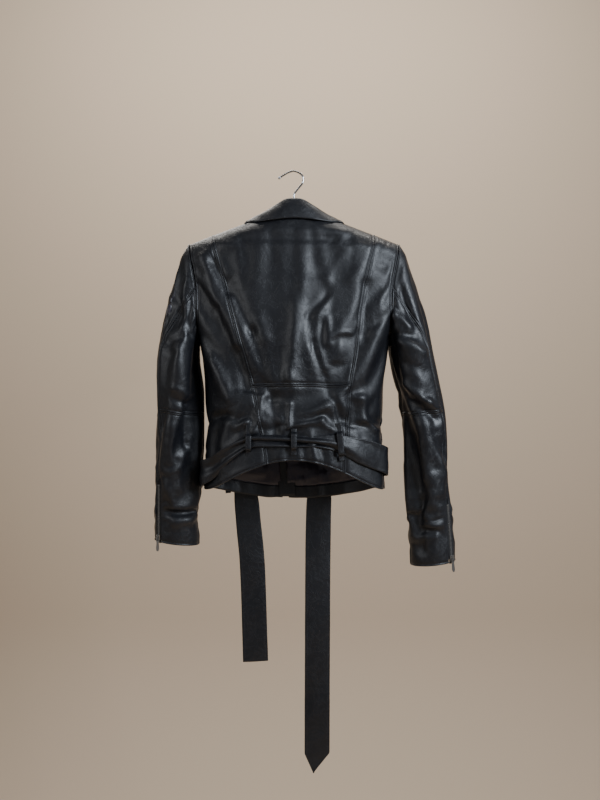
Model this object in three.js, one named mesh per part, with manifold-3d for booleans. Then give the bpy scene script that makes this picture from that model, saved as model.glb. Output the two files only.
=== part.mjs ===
// A cropped leather riding jacket, hung on the hanger inside it. Millimetres, +Z up.
// The origin is the seat of the hanger's hook, where it rests on a rail or nail. The wearer would face -Y, so
// +X is the wearer's left and the back of the jacket faces +Y.
import * as THREE from "three";
import { mergeVertices } from "three/addons/utils/BufferGeometryUtils.js";
import Module from "manifold-3d";

const wasm = await Module();
wasm.setup();
const { lerp, clamp, degToRad } = THREE.MathUtils;
const V = (x, y, z) => new THREE.Vector3(x, y, z);

// ---- Driving dimensions ----
const hookToNeck = 89; // hook seat down to the neck point of the shoulder seam
const shoulderDrop = 50; // neck point down to the shoulder tip
const shoulderHalf = 198;
const neckHalf = 68;
const armholeDepth = 178; // shoulder tip down to the underarm
const chestHalf = 180;
const waistHalf = 163;
const hemHalf = 171;
const waistFall = 316; // neck point down to the waist seam
const sideLength = 511; // neck point down to the hem at the side seam
const frontDip = 27; // how far the front hem drops below the side hem
const backLift = 58; // how far the belt draws the back hem up above the side hem
const hemBand = 24; // turned-up band along the hem
const backDepthNeck = 42;
const backDepthChest = 78;
const backDepthHem = 78;
const frontDepthNeck = 36;
const frontDepthChest = 62;
const frontDepthHem = 70;
const shoulderRoll = 40; // height over which the body rounds over at the shoulder seam
const leather = 1.4;
const lining = 0.6;
const liningDepth = 2.2; // leather's face to the lining's face
const seamGap = 0.2; // each panel's edge stands this far back from its seam
const sleeveLength = 606; // shoulder tip to the right cuff, with the sleeve hanging straight
const leftCuffRise = 37; // the left sleeve bends forward, so its cuff hangs this much higher
const cuffHalf = 43;
const bicepHalf = 39;
const bicepDepth = 56;
const cuffDepth = 38;
const cuffZipLength = 118;
const beltWidth = 50;
const beltThickness = 2.6;
const beltTailLeft = 335; // belt beyond the left front loop
const beltTailRight = 603;
const collarFall = 38; // height of the folded collar at the centre back
const hangerThickness = 10;
const hangerHeight = 24;
const hookWire = 1.9; // radius of the hook's wire
const hookRadius = 20; // inner radius of the hook

// ---- Heights that follow from them ----
const neckZ = -hookToNeck;
const tipZ = neckZ - shoulderDrop;
const underarmZ = tipZ - armholeDepth;
const waistZ = neckZ - waistFall;
const sideHemZ = neckZ - sideLength;
const beltZ = lerp(waistZ, sideHemZ, 0.53);
const necklineZ = neckZ - 5;
const breakZ = underarmZ - 18; // where the lapels start to roll open

// ---- The body's surface: a rounded box in plan, rounded over along the shoulder seam ----
const squareness = 2.4;
const armholeCut = 0.75;
const armholeRound = 50;

// Straight lines through (height, value) pairs, listed from the top down.
function profile(...knots) {
  return (z) => {
    const below = knots.findIndex((k) => k[0] <= z);
    if (below === 0) return knots[0][1];
    if (below < 0) return knots[knots.length - 1][1];
    const [za, a] = knots[below - 1];
    const [zb, b] = knots[below];
    return lerp(a, b, (za - z) / (za - zb));
  };
}

const halfWidth = profile(
  [tipZ, shoulderHalf],
  [tipZ - 80, chestHalf + 2],
  [underarmZ, chestHalf],
  [waistZ, waistHalf + 3],
  [beltZ, waistHalf],
  [sideHemZ, hemHalf],
);
const backDepth = profile(
  [necklineZ, backDepthNeck],
  [tipZ, lerp(backDepthNeck, backDepthChest, 0.4)],
  [underarmZ, backDepthChest],
  [waistZ, backDepthChest - 4],
  [sideHemZ, backDepthHem],
);
const frontDepth = profile(
  [necklineZ, frontDepthNeck],
  [tipZ, lerp(frontDepthNeck, frontDepthChest, 0.4)],
  [underarmZ, frontDepthChest],
  [sideHemZ - frontDip, frontDepthHem],
);
const shoulderSlope = shoulderDrop / (shoulderHalf - neckHalf);

// Height of the shoulder seam at x; between the neck points it carries on upwards, as the body's rounding does.
const shoulderLine = (x) => neckZ - (Math.abs(x) - neckHalf) * shoulderSlope;

function bodyY(x, z, depth) {
  const above = clamp((z - underarmZ) / armholeRound, 0, 1);
  const cut = 1 - (1 - armholeCut) * above;
  const s = Math.min(1, Math.abs(x) / halfWidth(z));
  const sideways = Math.pow(Math.max(0, 1 - cut * Math.pow(s, squareness)), 1 / squareness);
  const down = clamp((shoulderLine(x) - z) / shoulderRoll, 0, 1);
  return depth * sideways * Math.sqrt(1 - (1 - down) ** 2);
}
const backY = (x, z) => bodyY(x, z, backDepth(z));
const frontY = (x, z) => -bodyY(x, z, frontDepth(z));

// ---- Seams that run down the body, as x against height ----
const zipTopX = 40;
const zipFootX = 18;
const zipFootZ = sideHemZ - frontDip + 6;
const zipStand = 6.1; // the fronts stop this far from the zip's centre line
const zipX = (z) => lerp(zipFootX, zipTopX, (z - zipFootZ) / (breakZ - zipFootZ));
const princessLeft = profile([tipZ, 152], [tipZ - 87, 125], [waistZ, 76], [sideHemZ + backLift, 50]);
const princessRight = profile([tipZ, 150], [tipZ - 87, 129], [waistZ, 104], [sideHemZ + backLift, 92]);
const frontSeamShare = 0.66;
const frontSeam = (z) => frontSeamShare * halfWidth(z);

// The left front's edge runs up beside the zip, then up the roll line of its lapel.
function leftEdge(z) {
  if (z <= breakZ) return zipX(z) + zipStand;
  return lerp(zipX(breakZ) + zipStand, neckHalf, (z - breakZ) / (neckZ - breakZ));
}

// The top edge of the front: the shoulder seam, or the roll line from a neck point down to the top of the zip.
function frontTop(x) {
  if (Math.abs(x) >= neckHalf) return shoulderLine(x);
  const across = x < zipTopX ? (zipTopX - x) / (zipTopX + neckHalf) : (x - zipTopX) / (neckHalf - zipTopX);
  return lerp(breakZ, neckZ, across);
}
const backTop = (x) => (Math.abs(x) >= neckHalf ? shoulderLine(x) : necklineZ);
const hemShape = (x, z) => 1 - Math.min(1, Math.abs(x) / halfWidth(z)) ** 2;
const backHem = (x) => sideHemZ + backLift * hemShape(x, sideHemZ) ** 1.5;
const frontHem = (x) => sideHemZ - frontDip * hemShape(x, sideHemZ);

// ---- Grids of points on the surface, one for the back and one for the front ----
const hemRow = 1;
const waistRow = 4;
const underarmRow = 7;
const topRow = 15;

// Height of a row in a column that runs from hem to top. A column that stops short of the neck, under the
// open lapels, has the rows of a full one squeezed into it.
function rowHeight(row, hem, top, full) {
  const band = hem + hemBand;
  if (row <= hemRow) return lerp(hem, band, row);
  const share = (from, to) => (row - from) / (to - from);
  let z = lerp(underarmZ, full, share(underarmRow, topRow));
  if (row <= waistRow) z = lerp(band, waistZ, share(hemRow, waistRow));
  else if (row <= underarmRow) z = lerp(waistZ, underarmZ, share(waistRow, underarmRow));
  return lerp(band, top, (z - band) / (full - band));
}

// x of a column at height z. stops lists [column, x against height]; the outer spans close up towards the sides.
function columnX(column, z, stops) {
  const next = Math.max(1, stops.findIndex((s) => s[0] >= column));
  const [ca, a] = stops[next - 1];
  const [cb, b] = stops[next];
  let share = (column - ca) / (cb - ca);
  if (next === 1) share = 1 - Math.sin((Math.PI / 2) * (1 - share));
  if (next === stops.length - 1) share = Math.sin((Math.PI / 2) * share);
  return lerp(a(z), b(z), share);
}

function surfaceGrid(stops, depthAt, hemAt, topAt) {
  const columns = stops[stops.length - 1][0];
  const grid = [];
  for (let row = 0; row <= topRow; row++) {
    grid.push([]);
    for (let column = 0; column <= columns; column++) {
      let top = neckZ;
      for (let pass = 0; pass < 12; pass++) top = topAt(columnX(column, top, stops));
      const hem = hemAt(columnX(column, sideHemZ, stops));
      const inNeck = Math.abs(columnX(column, top, stops)) < neckHalf;
      const z = rowHeight(row, hem, top, inNeck ? neckZ : top);
      const x = columnX(column, z, stops);
      const onSeam = row === topRow && Math.abs(x) >= neckHalf - 0.01;
      grid[row].push(V(x, onSeam ? 0 : depthAt(x, z), z));
    }
  }
  return grid;
}

const backStops = [
  [0, halfWidth],
  [4, princessLeft],
  [13, (z) => -princessRight(z)],
  [17, (z) => -halfWidth(z)],
];
const frontStops = [
  [0, halfWidth],
  [3, frontSeam],
  [8, leftEdge],
  [9, (z) => zipX(z) - zipStand],
  [14, (z) => (-neckHalf / shoulderHalf) * halfWidth(z)],
  [17, (z) => -frontSeam(z)],
  [20, (z) => -halfWidth(z)],
];
const back = surfaceGrid(backStops, backY, backHem, backTop);
const front = surfaceGrid(frontStops, frontY, frontHem, frontTop);

// Outward normals of a grid. A point on the side or shoulder seam has no front or back in its normal.
function normalsOf(grid, outwards, wraps = false) {
  const rows = grid.length;
  const columns = grid[0].length;
  return grid.map((line, r) =>
    line.map((point, c) => {
      const left = wraps ? (c + columns - 1) % columns : Math.max(0, c - 1);
      const right = wraps ? (c + 1) % columns : Math.min(columns - 1, c + 1);
      const along = grid[r][right].clone().sub(grid[r][left]);
      const up = grid[Math.min(rows - 1, r + 1)][c].clone().sub(grid[Math.max(0, r - 1)][c]);
      const normal = along.cross(up);
      if (Math.abs(point.y) < 1e-3 && !wraps) normal.y = 0;
      normal.normalize();
      return normal.dot(outwards(point, r)) < 0 ? normal.negate() : normal;
    }),
  );
}
const backNormals = normalsOf(back, (p) => V(p.x, 200, p.z > tipZ ? 100 : 0));
const frontNormals = normalsOf(front, (p) => V(p.x, -200, p.z > tipZ ? 100 : 0));

// ---- Solids ----
function facingOut(geometry) {
  const p = geometry.getAttribute("position");
  const index = Array.from(geometry.index.array);
  let volume = 0;
  for (let i = 0; i < index.length; i += 3) {
    const [a, b, c] = [0, 1, 2].map((k) => new THREE.Vector3().fromBufferAttribute(p, index[i + k]));
    volume += a.dot(b.cross(c));
  }
  if (volume < 0) geometry.setIndex(index.reverse());
  return geometry;
}

// A closed slab between two grids of points of the same size. wraps joins its last column to its first.
function slab(outer, inner, wraps = false) {
  const rows = outer.length;
  const columns = outer[0].length;
  const points = [...outer.flat(), ...inner.flat()];
  const index = [];
  const at = (layer, r, c) => layer * rows * columns + r * columns + (c % columns);
  const quad = (a, b, c, d) => index.push(a, b, c, a, c, d);
  const spans = wraps ? columns : columns - 1;
  for (let r = 0; r < rows - 1; r++) {
    for (let c = 0; c < spans; c++) {
      quad(at(0, r, c), at(0, r, c + 1), at(0, r + 1, c + 1), at(0, r + 1, c));
      quad(at(1, r, c), at(1, r + 1, c), at(1, r + 1, c + 1), at(1, r, c + 1));
    }
  }
  for (let c = 0; c < spans; c++) {
    quad(at(1, 0, c), at(1, 0, c + 1), at(0, 0, c + 1), at(0, 0, c));
    quad(at(0, rows - 1, c), at(0, rows - 1, c + 1), at(1, rows - 1, c + 1), at(1, rows - 1, c));
  }
  for (let r = 0; r < rows - 1 && !wraps; r++) {
    quad(at(0, r, 0), at(0, r + 1, 0), at(1, r + 1, 0), at(1, r, 0));
    quad(at(1, r, columns - 1), at(1, r + 1, columns - 1), at(0, r + 1, columns - 1), at(0, r, columns - 1));
  }
  const geometry = new THREE.BufferGeometry().setFromPoints(points);
  geometry.setIndex(index);
  return facingOut(geometry);
}

// A panel cut from a grid between two rows and two columns, its edges drawn back from the seams.
// inset(edge, row) may draw an edge back further.
function panel(grid, normals, [r0, r1], [c0, c1], options = {}) {
  const { depth = 0, thickness = leather, inset = () => seamGap } = options;
  const count = grid[0].length;
  const wrap = (c) => ((c % count) + count) % count;
  const at = (r, c) => grid[clamp(r, r0, r1)][wrap(clamp(c, c0, c1))];
  const outer = [];
  const inner = [];
  for (let r = r0; r <= r1; r++) {
    const outerLine = [];
    const innerLine = [];
    for (let c = c0; c <= c1; c++) {
      const point = at(r, c).clone();
      // Moves the point towards a neighbour until it is by away from the edge it sits on.
      const towards = (r2, c2, by) => {
        const way = at(r2, c2).clone().sub(at(r, c)).normalize();
        const edge = r2 === r ? at(r + 1, c).clone().sub(at(r - 1, c)) : at(r, c + 1).clone().sub(at(r, c - 1));
        const slant = way.clone().cross(edge.normalize()).length();
        point.addScaledVector(way, by / Math.max(slant, 0.08));
      };
      if (c === c0) towards(r, c + 1, inset("first", r));
      if (c === c1) towards(r, c - 1, inset("last", r));
      if (r === r0) towards(r + 1, c, inset("low", c));
      if (r === r1) towards(r - 1, c, inset("high", c));
      const normal = normals[r][wrap(c)];
      outerLine.push(point.clone().addScaledVector(normal, -depth));
      innerLine.push(point.clone().addScaledVector(normal, -depth - thickness));
    }
    outer.push(outerLine);
    inner.push(innerLine);
  }
  return slab(outer, inner);
}

// A free sheet from a grid of points on its face, with its thickness on the side away from outwards.
function sheet(grid, outwards, thickness) {
  const normals = normalsOf(grid, outwards);
  const inner = grid.map((line, r) => line.map((p, c) => p.clone().addScaledVector(normals[r][c], -thickness)));
  return slab(grid, inner);
}

function solid(geometry) {
  const bare = new THREE.BufferGeometry().setAttribute("position", geometry.getAttribute("position"));
  if (geometry.index) bare.setIndex(geometry.index);
  const merged = mergeVertices(bare, 1e-4);
  const vertProperties = merged.getAttribute("position").array;
  return new wasm.Manifold(new wasm.Mesh({ numProp: 3, vertProperties, triVerts: merged.index.array }));
}

function geometryOf(manifold) {
  const mesh = manifold.getMesh();
  const geometry = new THREE.BufferGeometry();
  geometry.setAttribute("position", new THREE.BufferAttribute(mesh.vertProperties, 3));
  geometry.setIndex(new THREE.BufferAttribute(mesh.triVerts, 1));
  return geometry;
}

// An outline extruded along +Z, centred on z = 0.
function plate(points, thickness, holes = []) {
  const shape = new THREE.Shape(points.map(([x, y]) => new THREE.Vector2(x, y)));
  shape.holes = holes.map((hole) => new THREE.Path(hole.map(([x, y]) => new THREE.Vector2(x, y))));
  const geometry = new THREE.ExtrudeGeometry(shape, { depth: thickness, bevelEnabled: false });
  return geometry.translate(0, 0, -thickness / 2);
}

// ---- Materials ----
const finish = (color, roughness, metalness = 0) =>
  new THREE.MeshStandardMaterial({ color, roughness, metalness });
const leatherMaterial = finish(0x15171d, 0.36);
const liningMaterial = finish(0x1c1826, 0.7);
const metalMaterial = finish(0xb4b6ba, 0.25, 1);
const tapeMaterial = finish(0x101012, 0.85);
const woodMaterial = finish(0x4b3322, 0.5);

const jacket = new THREE.Group();
function add(name, geometry, material, parent = jacket) {
  const mesh = new THREE.Mesh(geometry, material);
  mesh.name = name;
  parent.add(mesh);
  return mesh;
}

// ---- Body panels ----
add("back_centre_panel", panel(back, backNormals, [waistRow, topRow], [4, 13]), leatherMaterial);
add("back_waist_panel", panel(back, backNormals, [0, waistRow], [4, 13]), leatherMaterial);
add("back_side_panel_left", panel(back, backNormals, [0, topRow], [0, 4]), leatherMaterial);
add("back_side_panel_right", panel(back, backNormals, [0, topRow], [13, 17]), leatherMaterial);
add("front_side_panel_left", panel(front, frontNormals, [0, topRow], [0, 3]), leatherMaterial);
const frontPanels = {
  left: panel(front, frontNormals, [0, topRow], [3, 8]),
  right: panel(front, frontNormals, [0, topRow], [9, 17]),
};
add("front_side_panel_right", panel(front, frontNormals, [0, topRow], [17, 20]), leatherMaterial);

// Turned-up leather facings inside the hem, with the lining sewn to them.
const facing = { depth: liningDepth, thickness: leather };
const bodyLining = { depth: liningDepth, thickness: lining };
const facingRows = [0, hemRow];
const liningRows = [hemRow, topRow - 1];
add("hem_facing_back", panel(back, backNormals, facingRows, [0, 17], facing), leatherMaterial);
add("hem_facing_front_left", panel(front, frontNormals, facingRows, [0, 8], facing), leatherMaterial);
add("hem_facing_front_right", panel(front, frontNormals, facingRows, [9, 20], facing), leatherMaterial);
add("lining_back", panel(back, backNormals, liningRows, [0, 17], bodyLining), liningMaterial);
add("lining_front_left", panel(front, frontNormals, liningRows, [0, 8], bodyLining), liningMaterial);
add("lining_front_right", panel(front, frontNormals, liningRows, [9, 20], bodyLining), liningMaterial);

// The leather fly behind the front zip. Its free edge runs straight up the centre front.
const flyDepth = liningDepth + leather + 1;
const flyOverlap = 12;
const flyRows = 9;
function frontFly() {
  const face = [];
  for (let row = 0; row <= flyRows; row++) {
    const z = lerp(frontHem(0) + 3, breakZ - 10, row / flyRows);
    face.push([0, 0.5, 1].map((share) => lerp(-2, zipX(z) + flyOverlap, share)).map((x) => V(x, frontY(x, z) + flyDepth, z)));
  }
  return sheet(face, () => V(0, -1, 0), leather);
}
add("front_zip_fly", frontFly(), leatherMaterial);

// ---- Lapels and collar ----
const lapelLift = leather + 1;
const lapelRows = 10;

// A lapel lies on the front between the roll line and its own free edge. side is +1 on the wearer's left.
function lapel(side) {
  const gorge = neckZ - 40;
  const tip = V(side * (neckHalf + 46), 0, gorge - 58);
  const rollX = (z) => {
    const share = clamp((z - breakZ) / (neckZ - breakZ), 0, 1);
    return lerp(zipTopX, side * neckHalf, share) + side * 2;
  };
  const edge = new THREE.QuadraticBezierCurve3(
    tip,
    V(side * neckHalf + (side > 0 ? 14 : -2), 0, lerp(tip.z, breakZ, 0.55)),
    V(rollX(breakZ) + side * 7, 0, breakZ + 4),
  );
  const face = [];
  for (let row = 0; row <= lapelRows; row++) {
    const share = row / lapelRows;
    const rollZ = lerp(gorge, breakZ + 6, share);
    const free = edge.getPoint(share);
    face.push([]);
    for (let column = 0; column <= 3; column++) {
      const x = lerp(rollX(rollZ), free.x, column / 3);
      const z = lerp(rollZ, free.z, column / 3);
      face[row].push(V(x, frontY(x, z) - lapelLift, z));
    }
  }
  return { geometry: sheet(face, () => V(0, -1, 0), leather), tip };
}
const lapelLeft = lapel(1);
const lapelRight = lapel(-1);
add("lapel_left", lapelLeft.geometry, leatherMaterial);
add("lapel_right", lapelRight.geometry, leatherMaterial);

// Pushes a point out to lift away from the body's surface, on whichever side of the shoulder seam it is.
function clearOfBody(p, lift) {
  if (p.y >= 0) return V(p.x, Math.max(p.y, p.z < shoulderLine(p.x) ? backY(p.x, p.z) + lift : p.y), p.z);
  return V(p.x, Math.min(p.y, p.z < shoulderLine(p.x) ? frontY(p.x, p.z) - lift : p.y), p.z);
}

// The collar folds over at its top. Half of each line is listed, from the centre back to the front point.
const mirrored = (half) => [...half.slice(1).reverse().map((p) => V(-p.x, p.y, p.z)), ...half];
const collarTopZ = necklineZ + collarFall + 6;
const foldLine = mirrored([
  V(0, 37, collarTopZ),
  V(28, 33, collarTopZ - 8),
  V(52, 20, collarTopZ - 21),
  V(neckHalf + 2, 2, neckZ + 6),
  V(neckHalf + 2, -22, neckZ - 1),
  V(neckHalf - 3, -46, neckZ - 21),
]);
const collarEdge = mirrored([
  V(0, backY(0, necklineZ) + 10, collarTopZ - collarFall),
  V(42, backY(42, necklineZ) + 9, collarTopZ - collarFall - 2),
  V(76, 32, neckZ - 1),
  V(neckHalf + 24, 4, neckZ - 2),
  V(neckHalf + 30, -42, neckZ - 32),
  V(neckHalf + 20, frontY(neckHalf + 20, neckZ - 78) - lapelLift - leather - 1, neckZ - 78),
]);
const neckSeam = mirrored([
  V(0, backY(0, necklineZ) - 0.7, necklineZ + 0.5),
  V(30, backY(30, necklineZ) - 0.7, necklineZ + 0.5),
  V(50, backY(50, necklineZ) - 1, necklineZ + 0.8),
  V(neckHalf - 4, 2, neckZ + 1),
  V(neckHalf - 5, -20, neckZ - 8),
  V(neckHalf - 8, -39, neckZ - 30),
]);
const collarSteps = 20;
function ruled(lineA, lineB, rows, lift) {
  const a = new THREE.CatmullRomCurve3(lineA).getPoints(collarSteps);
  const b = new THREE.CatmullRomCurve3(lineB).getPoints(collarSteps);
  const face = [];
  for (let row = 0; row <= rows; row++) {
    const line = a.map((p, i) => p.clone().lerp(b[i], row / rows));
    face.push(lift ? line.map((p) => clearOfBody(p, lift)) : line);
  }
  return sheet(face, (p) => V(p.x, p.y + 5, 60), leather);
}
const underFold = foldLine.map((p) => V(p.x * 0.955, p.y * 0.955, p.z - 2.6));
add("collar_fall", ruled(collarEdge, foldLine, 3, lapelLift + leather + 1), leatherMaterial);
add("collar_stand", ruled(neckSeam, underFold, 2), leatherMaterial);

// ---- Sleeves ----
const sleeveShift = leather + 0.3; // the sleeve head stands this far outside the armhole
const headRings = 4;
const elbowRing = headRings + 3;
const zipRing = elbowRing + 2;
const zipShares = [0, 0.03, 0.5, 1]; // places of the rings along the cuff zip
const cuffRing = zipRing + zipShares.length - 1;
const backSeamAngle = 45;
const frontSeamAngle = 290;
const aroundSleeve = 16;
const seamColumn = 4;
const frontColumn = 12;
const bicepZ = underarmZ - 26;
const elbowZ = tipZ - 317;
const sleeveSides = {
  left: { side: 1, cuffZ: tipZ - sleeveLength + leftCuffRise, elbowX: 224, cuffX: 228, cuffY: -36 },
  right: { side: -1, cuffZ: tipZ - sleeveLength, elbowX: 246, cuffX: 268, cuffY: -24 },
};

function sleeveAngle(column) {
  const knots = [
    [0, 0],
    [seamColumn, backSeamAngle],
    [8, 180],
    [frontColumn, frontSeamAngle],
    [aroundSleeve, 360],
  ];
  const next = Math.max(1, knots.findIndex((k) => k[0] >= column));
  const [ca, a] = knots[next - 1];
  const [cb, b] = knots[next];
  return degToRad(lerp(a, b, (column - ca) / (cb - ca)));
}

// One ring of the sleeve below its head. run is 0 at the bicep, 1 at the elbow seam and 2 at the cuff.
function sleeveRing(spec, run) {
  const upper = Math.min(run, 1);
  const lower = Math.max(run - 1, 0);
  const along = (bicep, elbow, cuff) => (run <= 1 ? lerp(bicep, elbow, upper) : lerp(elbow, cuff, lower));
  const centre = V(
    along(chestHalf + bicepHalf, spec.elbowX, spec.cuffX),
    along(-2, -12, spec.cuffY),
    along(bicepZ, elbowZ, spec.cuffZ),
  );
  const a = along(bicepHalf, bicepHalf, cuffHalf);
  const b = along(bicepDepth, bicepDepth - 4, cuffDepth);
  const tilt = along(12, 4, 5);
  const ring = [];
  for (let column = 0; column < aroundSleeve; column++) {
    const turn = sleeveAngle(column);
    const x = centre.x + a * Math.cos(turn);
    ring.push(V(spec.side * x, centre.y + b * Math.sin(turn), centre.z + tilt * Math.cos(turn)));
  }
  return ring;
}

// The armhole as a loop: down the back edge from the shoulder tip, then up the front edge.
function armhole(side) {
  const backColumn = side > 0 ? 0 : back[0].length - 1;
  const frontEdge = side > 0 ? 0 : front[0].length - 1;
  const loop = [];
  for (let row = topRow; row >= underarmRow; row--) loop.push(back[row][backColumn].clone());
  for (let row = underarmRow + 1; row < topRow; row++) loop.push(front[row][frontEdge].clone());
  return loop.map((p) => p.setX(p.x + side * sleeveShift));
}

function sleeveGrid(spec) {
  const loop = armhole(spec.side);
  const bicep = sleeveRing(spec, 0);
  const grid = [];
  for (let r = 0; r <= cuffRing; r++) {
    if (r < headRings) grid.push(loop.map((p, i) => p.clone().lerp(bicep[i], r / headRings)));
    else if (r <= elbowRing) grid.push(sleeveRing(spec, (r - headRings) / (elbowRing - headRings)));
    else {
      const zipStart = (elbowZ - spec.cuffZ - cuffZipLength) / (elbowZ - spec.cuffZ);
      const past = (zipStart * (r - elbowRing)) / (zipRing - elbowRing);
      const run = r <= zipRing ? past : lerp(zipStart, 1, zipShares[r - zipRing]);
      grid.push(sleeveRing(spec, 1 + run));
    }
  }
  return grid;
}

function middleOf(line) {
  return line.reduce((sum, p) => sum.add(p), V(0, 0, 0)).divideScalar(line.length);
}

// ---- Zip fasteners: each is a group whose x runs across the zip, y along it and z out of the jacket ----
const toothGap = 0.5; // half the gap between the two rows of teeth
const toothWidth = 2.2;
const toothHeight = 1.1;
const tapeHalf = 5.8;
const tapeThickness = 0.3;
const sliderHalf = 4.4;
const sliderLength = 10;
const plateTop = 2.6;
const pullLength = 27;
const pivotHeight = 3.55;

function zipFrame(foot, head, outwards) {
  const along = head.clone().sub(foot);
  const length = along.length();
  along.normalize();
  const across = along.clone().cross(outwards).normalize();
  const out = across.clone().cross(along).normalize();
  const group = new THREE.Group();
  group.position.copy(foot);
  group.quaternion.setFromRotationMatrix(new THREE.Matrix4().makeBasis(across, along, out));
  jacket.add(group);
  return { group, length };
}

// One side of the zip: woven tape with its row of teeth along the edge.
function zipSide(side, length) {
  const g = toothGap;
  const w = g + toothWidth;
  const outline = [
    [g, -toothHeight],
    [w, -toothHeight],
    [w, -tapeThickness],
    [tapeHalf, -tapeThickness],
    [tapeHalf, tapeThickness],
    [w, tapeThickness],
    [w, toothHeight],
    [g, toothHeight],
  ];
  const bar = plate(outline, length).rotateX(-Math.PI / 2).translate(0, length / 2, 0);
  return side > 0 ? bar : bar.rotateY(Math.PI);
}

// A zip that never comes apart has both sides sewn together above its head and below its foot.
function closedZip(length) {
  const stop = 2;
  const join = [-stop / 2, length + stop / 2].map((y) =>
    solid(new THREE.BoxGeometry(2 * tapeHalf, stop + 0.2, 2 * tapeThickness).translate(0, y, 0)),
  );
  const sides = [1, -1].map((side) => solid(zipSide(side, length)));
  return geometryOf(wasm.Manifold.union([...sides, ...join]));
}

// The slider: two plates joined by a web between the rows of teeth, with a bridge for the pull.
function zipSlider() {
  const web = 0.25;
  const under = toothHeight + 0.3;
  const half = [
    [sliderHalf - 1, plateTop],
    [sliderHalf, plateTop - 0.6],
    [sliderHalf, under],
    [web, under],
    [web, -under],
    [sliderHalf, -under],
    [sliderHalf - 0.6, -under - 1],
  ];
  const outline = [...half, ...half.map(([x, y]) => [-x, y]).reverse()];
  const body = solid(plate(outline, sliderLength).rotateX(Math.PI / 2));
  const bridge = [
    [-4, plateTop - 0.2],
    [-3.4, pivotHeight + 2],
    [3.4, pivotHeight + 2],
    [4, plateTop - 0.2],
    [2.8, plateTop - 0.2],
    [2.8, pivotHeight + 0.95],
    [-2.8, pivotHeight + 0.95],
    [-2.8, plateTop - 0.2],
  ];
  const arch = plate(bridge, 1.6);
  arch.applyMatrix4(new THREE.Matrix4().makeBasis(V(0, 1, 0), V(0, 0, 1), V(1, 0, 0)));
  return geometryOf(body.add(solid(arch)));
}

// The pull: its crossbar lies under the slider's bridge and the tab hangs down from it.
function zipPull() {
  const outline = [
    [-3.2, 0.6],
    [3.2, 0.6],
    [3.2, -8],
    [2.4, -10],
    [3.4, -pullLength + 4],
    [2, -pullLength],
    [-2, -pullLength],
    [-3.4, -pullLength + 4],
    [-2.4, -10],
    [-3.2, -8],
  ];
  const hole = [
    [-1.7, -0.6],
    [-1.7, -6.4],
    [1.7, -6.4],
    [1.7, -0.6],
  ];
  return plate(outline, 1.2, [hole]).translate(0, 0, pivotHeight);
}

// sliderAt is the slider's place along the zip.
function addSlider(name, suffix, frame, sliderAt) {
  add(name + "_slider" + suffix, zipSlider(), metalMaterial, frame.group).position.y = sliderAt;
  add(name + "_pull" + suffix, zipPull(), metalMaterial, frame.group).position.y = sliderAt;
}
function addClosedZip(name, suffix, frame, sliderAt) {
  add(name + "_chain" + suffix, closedZip(frame.length), tapeMaterial, frame.group);
  addSlider(name, suffix, frame, sliderAt);
}

const zipLift = 0.6; // a zip's centre plane stands this far outside the leather's face
function buildSleeve(name) {
  const spec = sleeveSides[name];
  const grid = sleeveGrid(spec);
  const centres = grid.map(middleOf);
  const outwards = (p, r) => p.clone().sub(centres[r]);
  const normals = normalsOf(grid, outwards, true);
  const beside = (edgeAtZip) => (edge, r) => (edge === edgeAtZip && r > zipRing ? zipStand + seamGap : seamGap);
  const outer = panel(grid, normals, [0, cuffRing], [frontColumn - aroundSleeve, seamColumn], { inset: beside("last") });
  const forearm = panel(grid, normals, [elbowRing, cuffRing], [seamColumn, 8], { inset: beside("first") });
  add("sleeve_outer_panel_" + name, outer, leatherMaterial);
  add("sleeve_back_panel_" + name, panel(grid, normals, [0, elbowRing], [seamColumn, 8]), leatherMaterial);
  add("sleeve_forearm_panel_" + name, forearm, leatherMaterial);
  add("sleeve_front_panel_" + name, panel(grid, normals, [0, cuffRing], [8, frontColumn]), leatherMaterial);

  const inside = (r, c, depth) => grid[r][c].clone().addScaledVector(normals[r][c], -depth);
  const liningGap = liningDepth + 0.9;
  const face = [];
  const hidden = [];
  for (let r = 1; r <= cuffRing; r++) {
    const columns = [...Array(aroundSleeve / 2).keys()].map((i) => i * 2);
    const lift = V(0, 0, r === cuffRing ? 8 : 0);
    face.push(columns.map((c) => inside(r, c, liningGap).add(lift)));
    hidden.push(columns.map((c) => inside(r, c, liningGap + lining).add(lift)));
  }
  add("sleeve_lining_" + name, slab(face, hidden, true), liningMaterial);

  const normal = normals[cuffRing][seamColumn].clone().setZ(0);
  const head = grid[zipRing][seamColumn].clone().lerp(grid[cuffRing][seamColumn], 0.06);
  const lifted = (p) => p.clone().addScaledVector(normal.clone().normalize(), zipLift);
  const frame = zipFrame(lifted(grid[cuffRing][seamColumn]), lifted(head), normal);
  addClosedZip("cuff_zip", "_" + name, frame, sliderLength);
}
buildSleeve("left");
buildSleeve("right");

// ---- Front zip and hand pocket zips ----
const onFront = (x, z, lift) => V(x, frontY(x, z) - lift, z);
const frontZip = zipFrame(
  onFront(zipX(zipFootZ + 8), zipFootZ + 8, zipLift),
  onFront(zipX(breakZ - 4), breakZ - 4, zipLift),
  V(0, -1, 0),
);
add("front_zip_side_left", zipSide(1, frontZip.length), tapeMaterial, frontZip.group);
add("front_zip_side_right", zipSide(-1, frontZip.length), tapeMaterial, frontZip.group);
addSlider("front_zip", "", frontZip, frontZip.length - sliderLength);
const zipBoxLength = 7;
const zipBox = new THREE.BoxGeometry(2 * (toothGap + toothWidth), zipBoxLength, 2 * toothHeight);
add("front_zip_box", zipBox, metalMaterial, frontZip.group).position.y = -zipBoxLength / 2 - 0.3;

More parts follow.
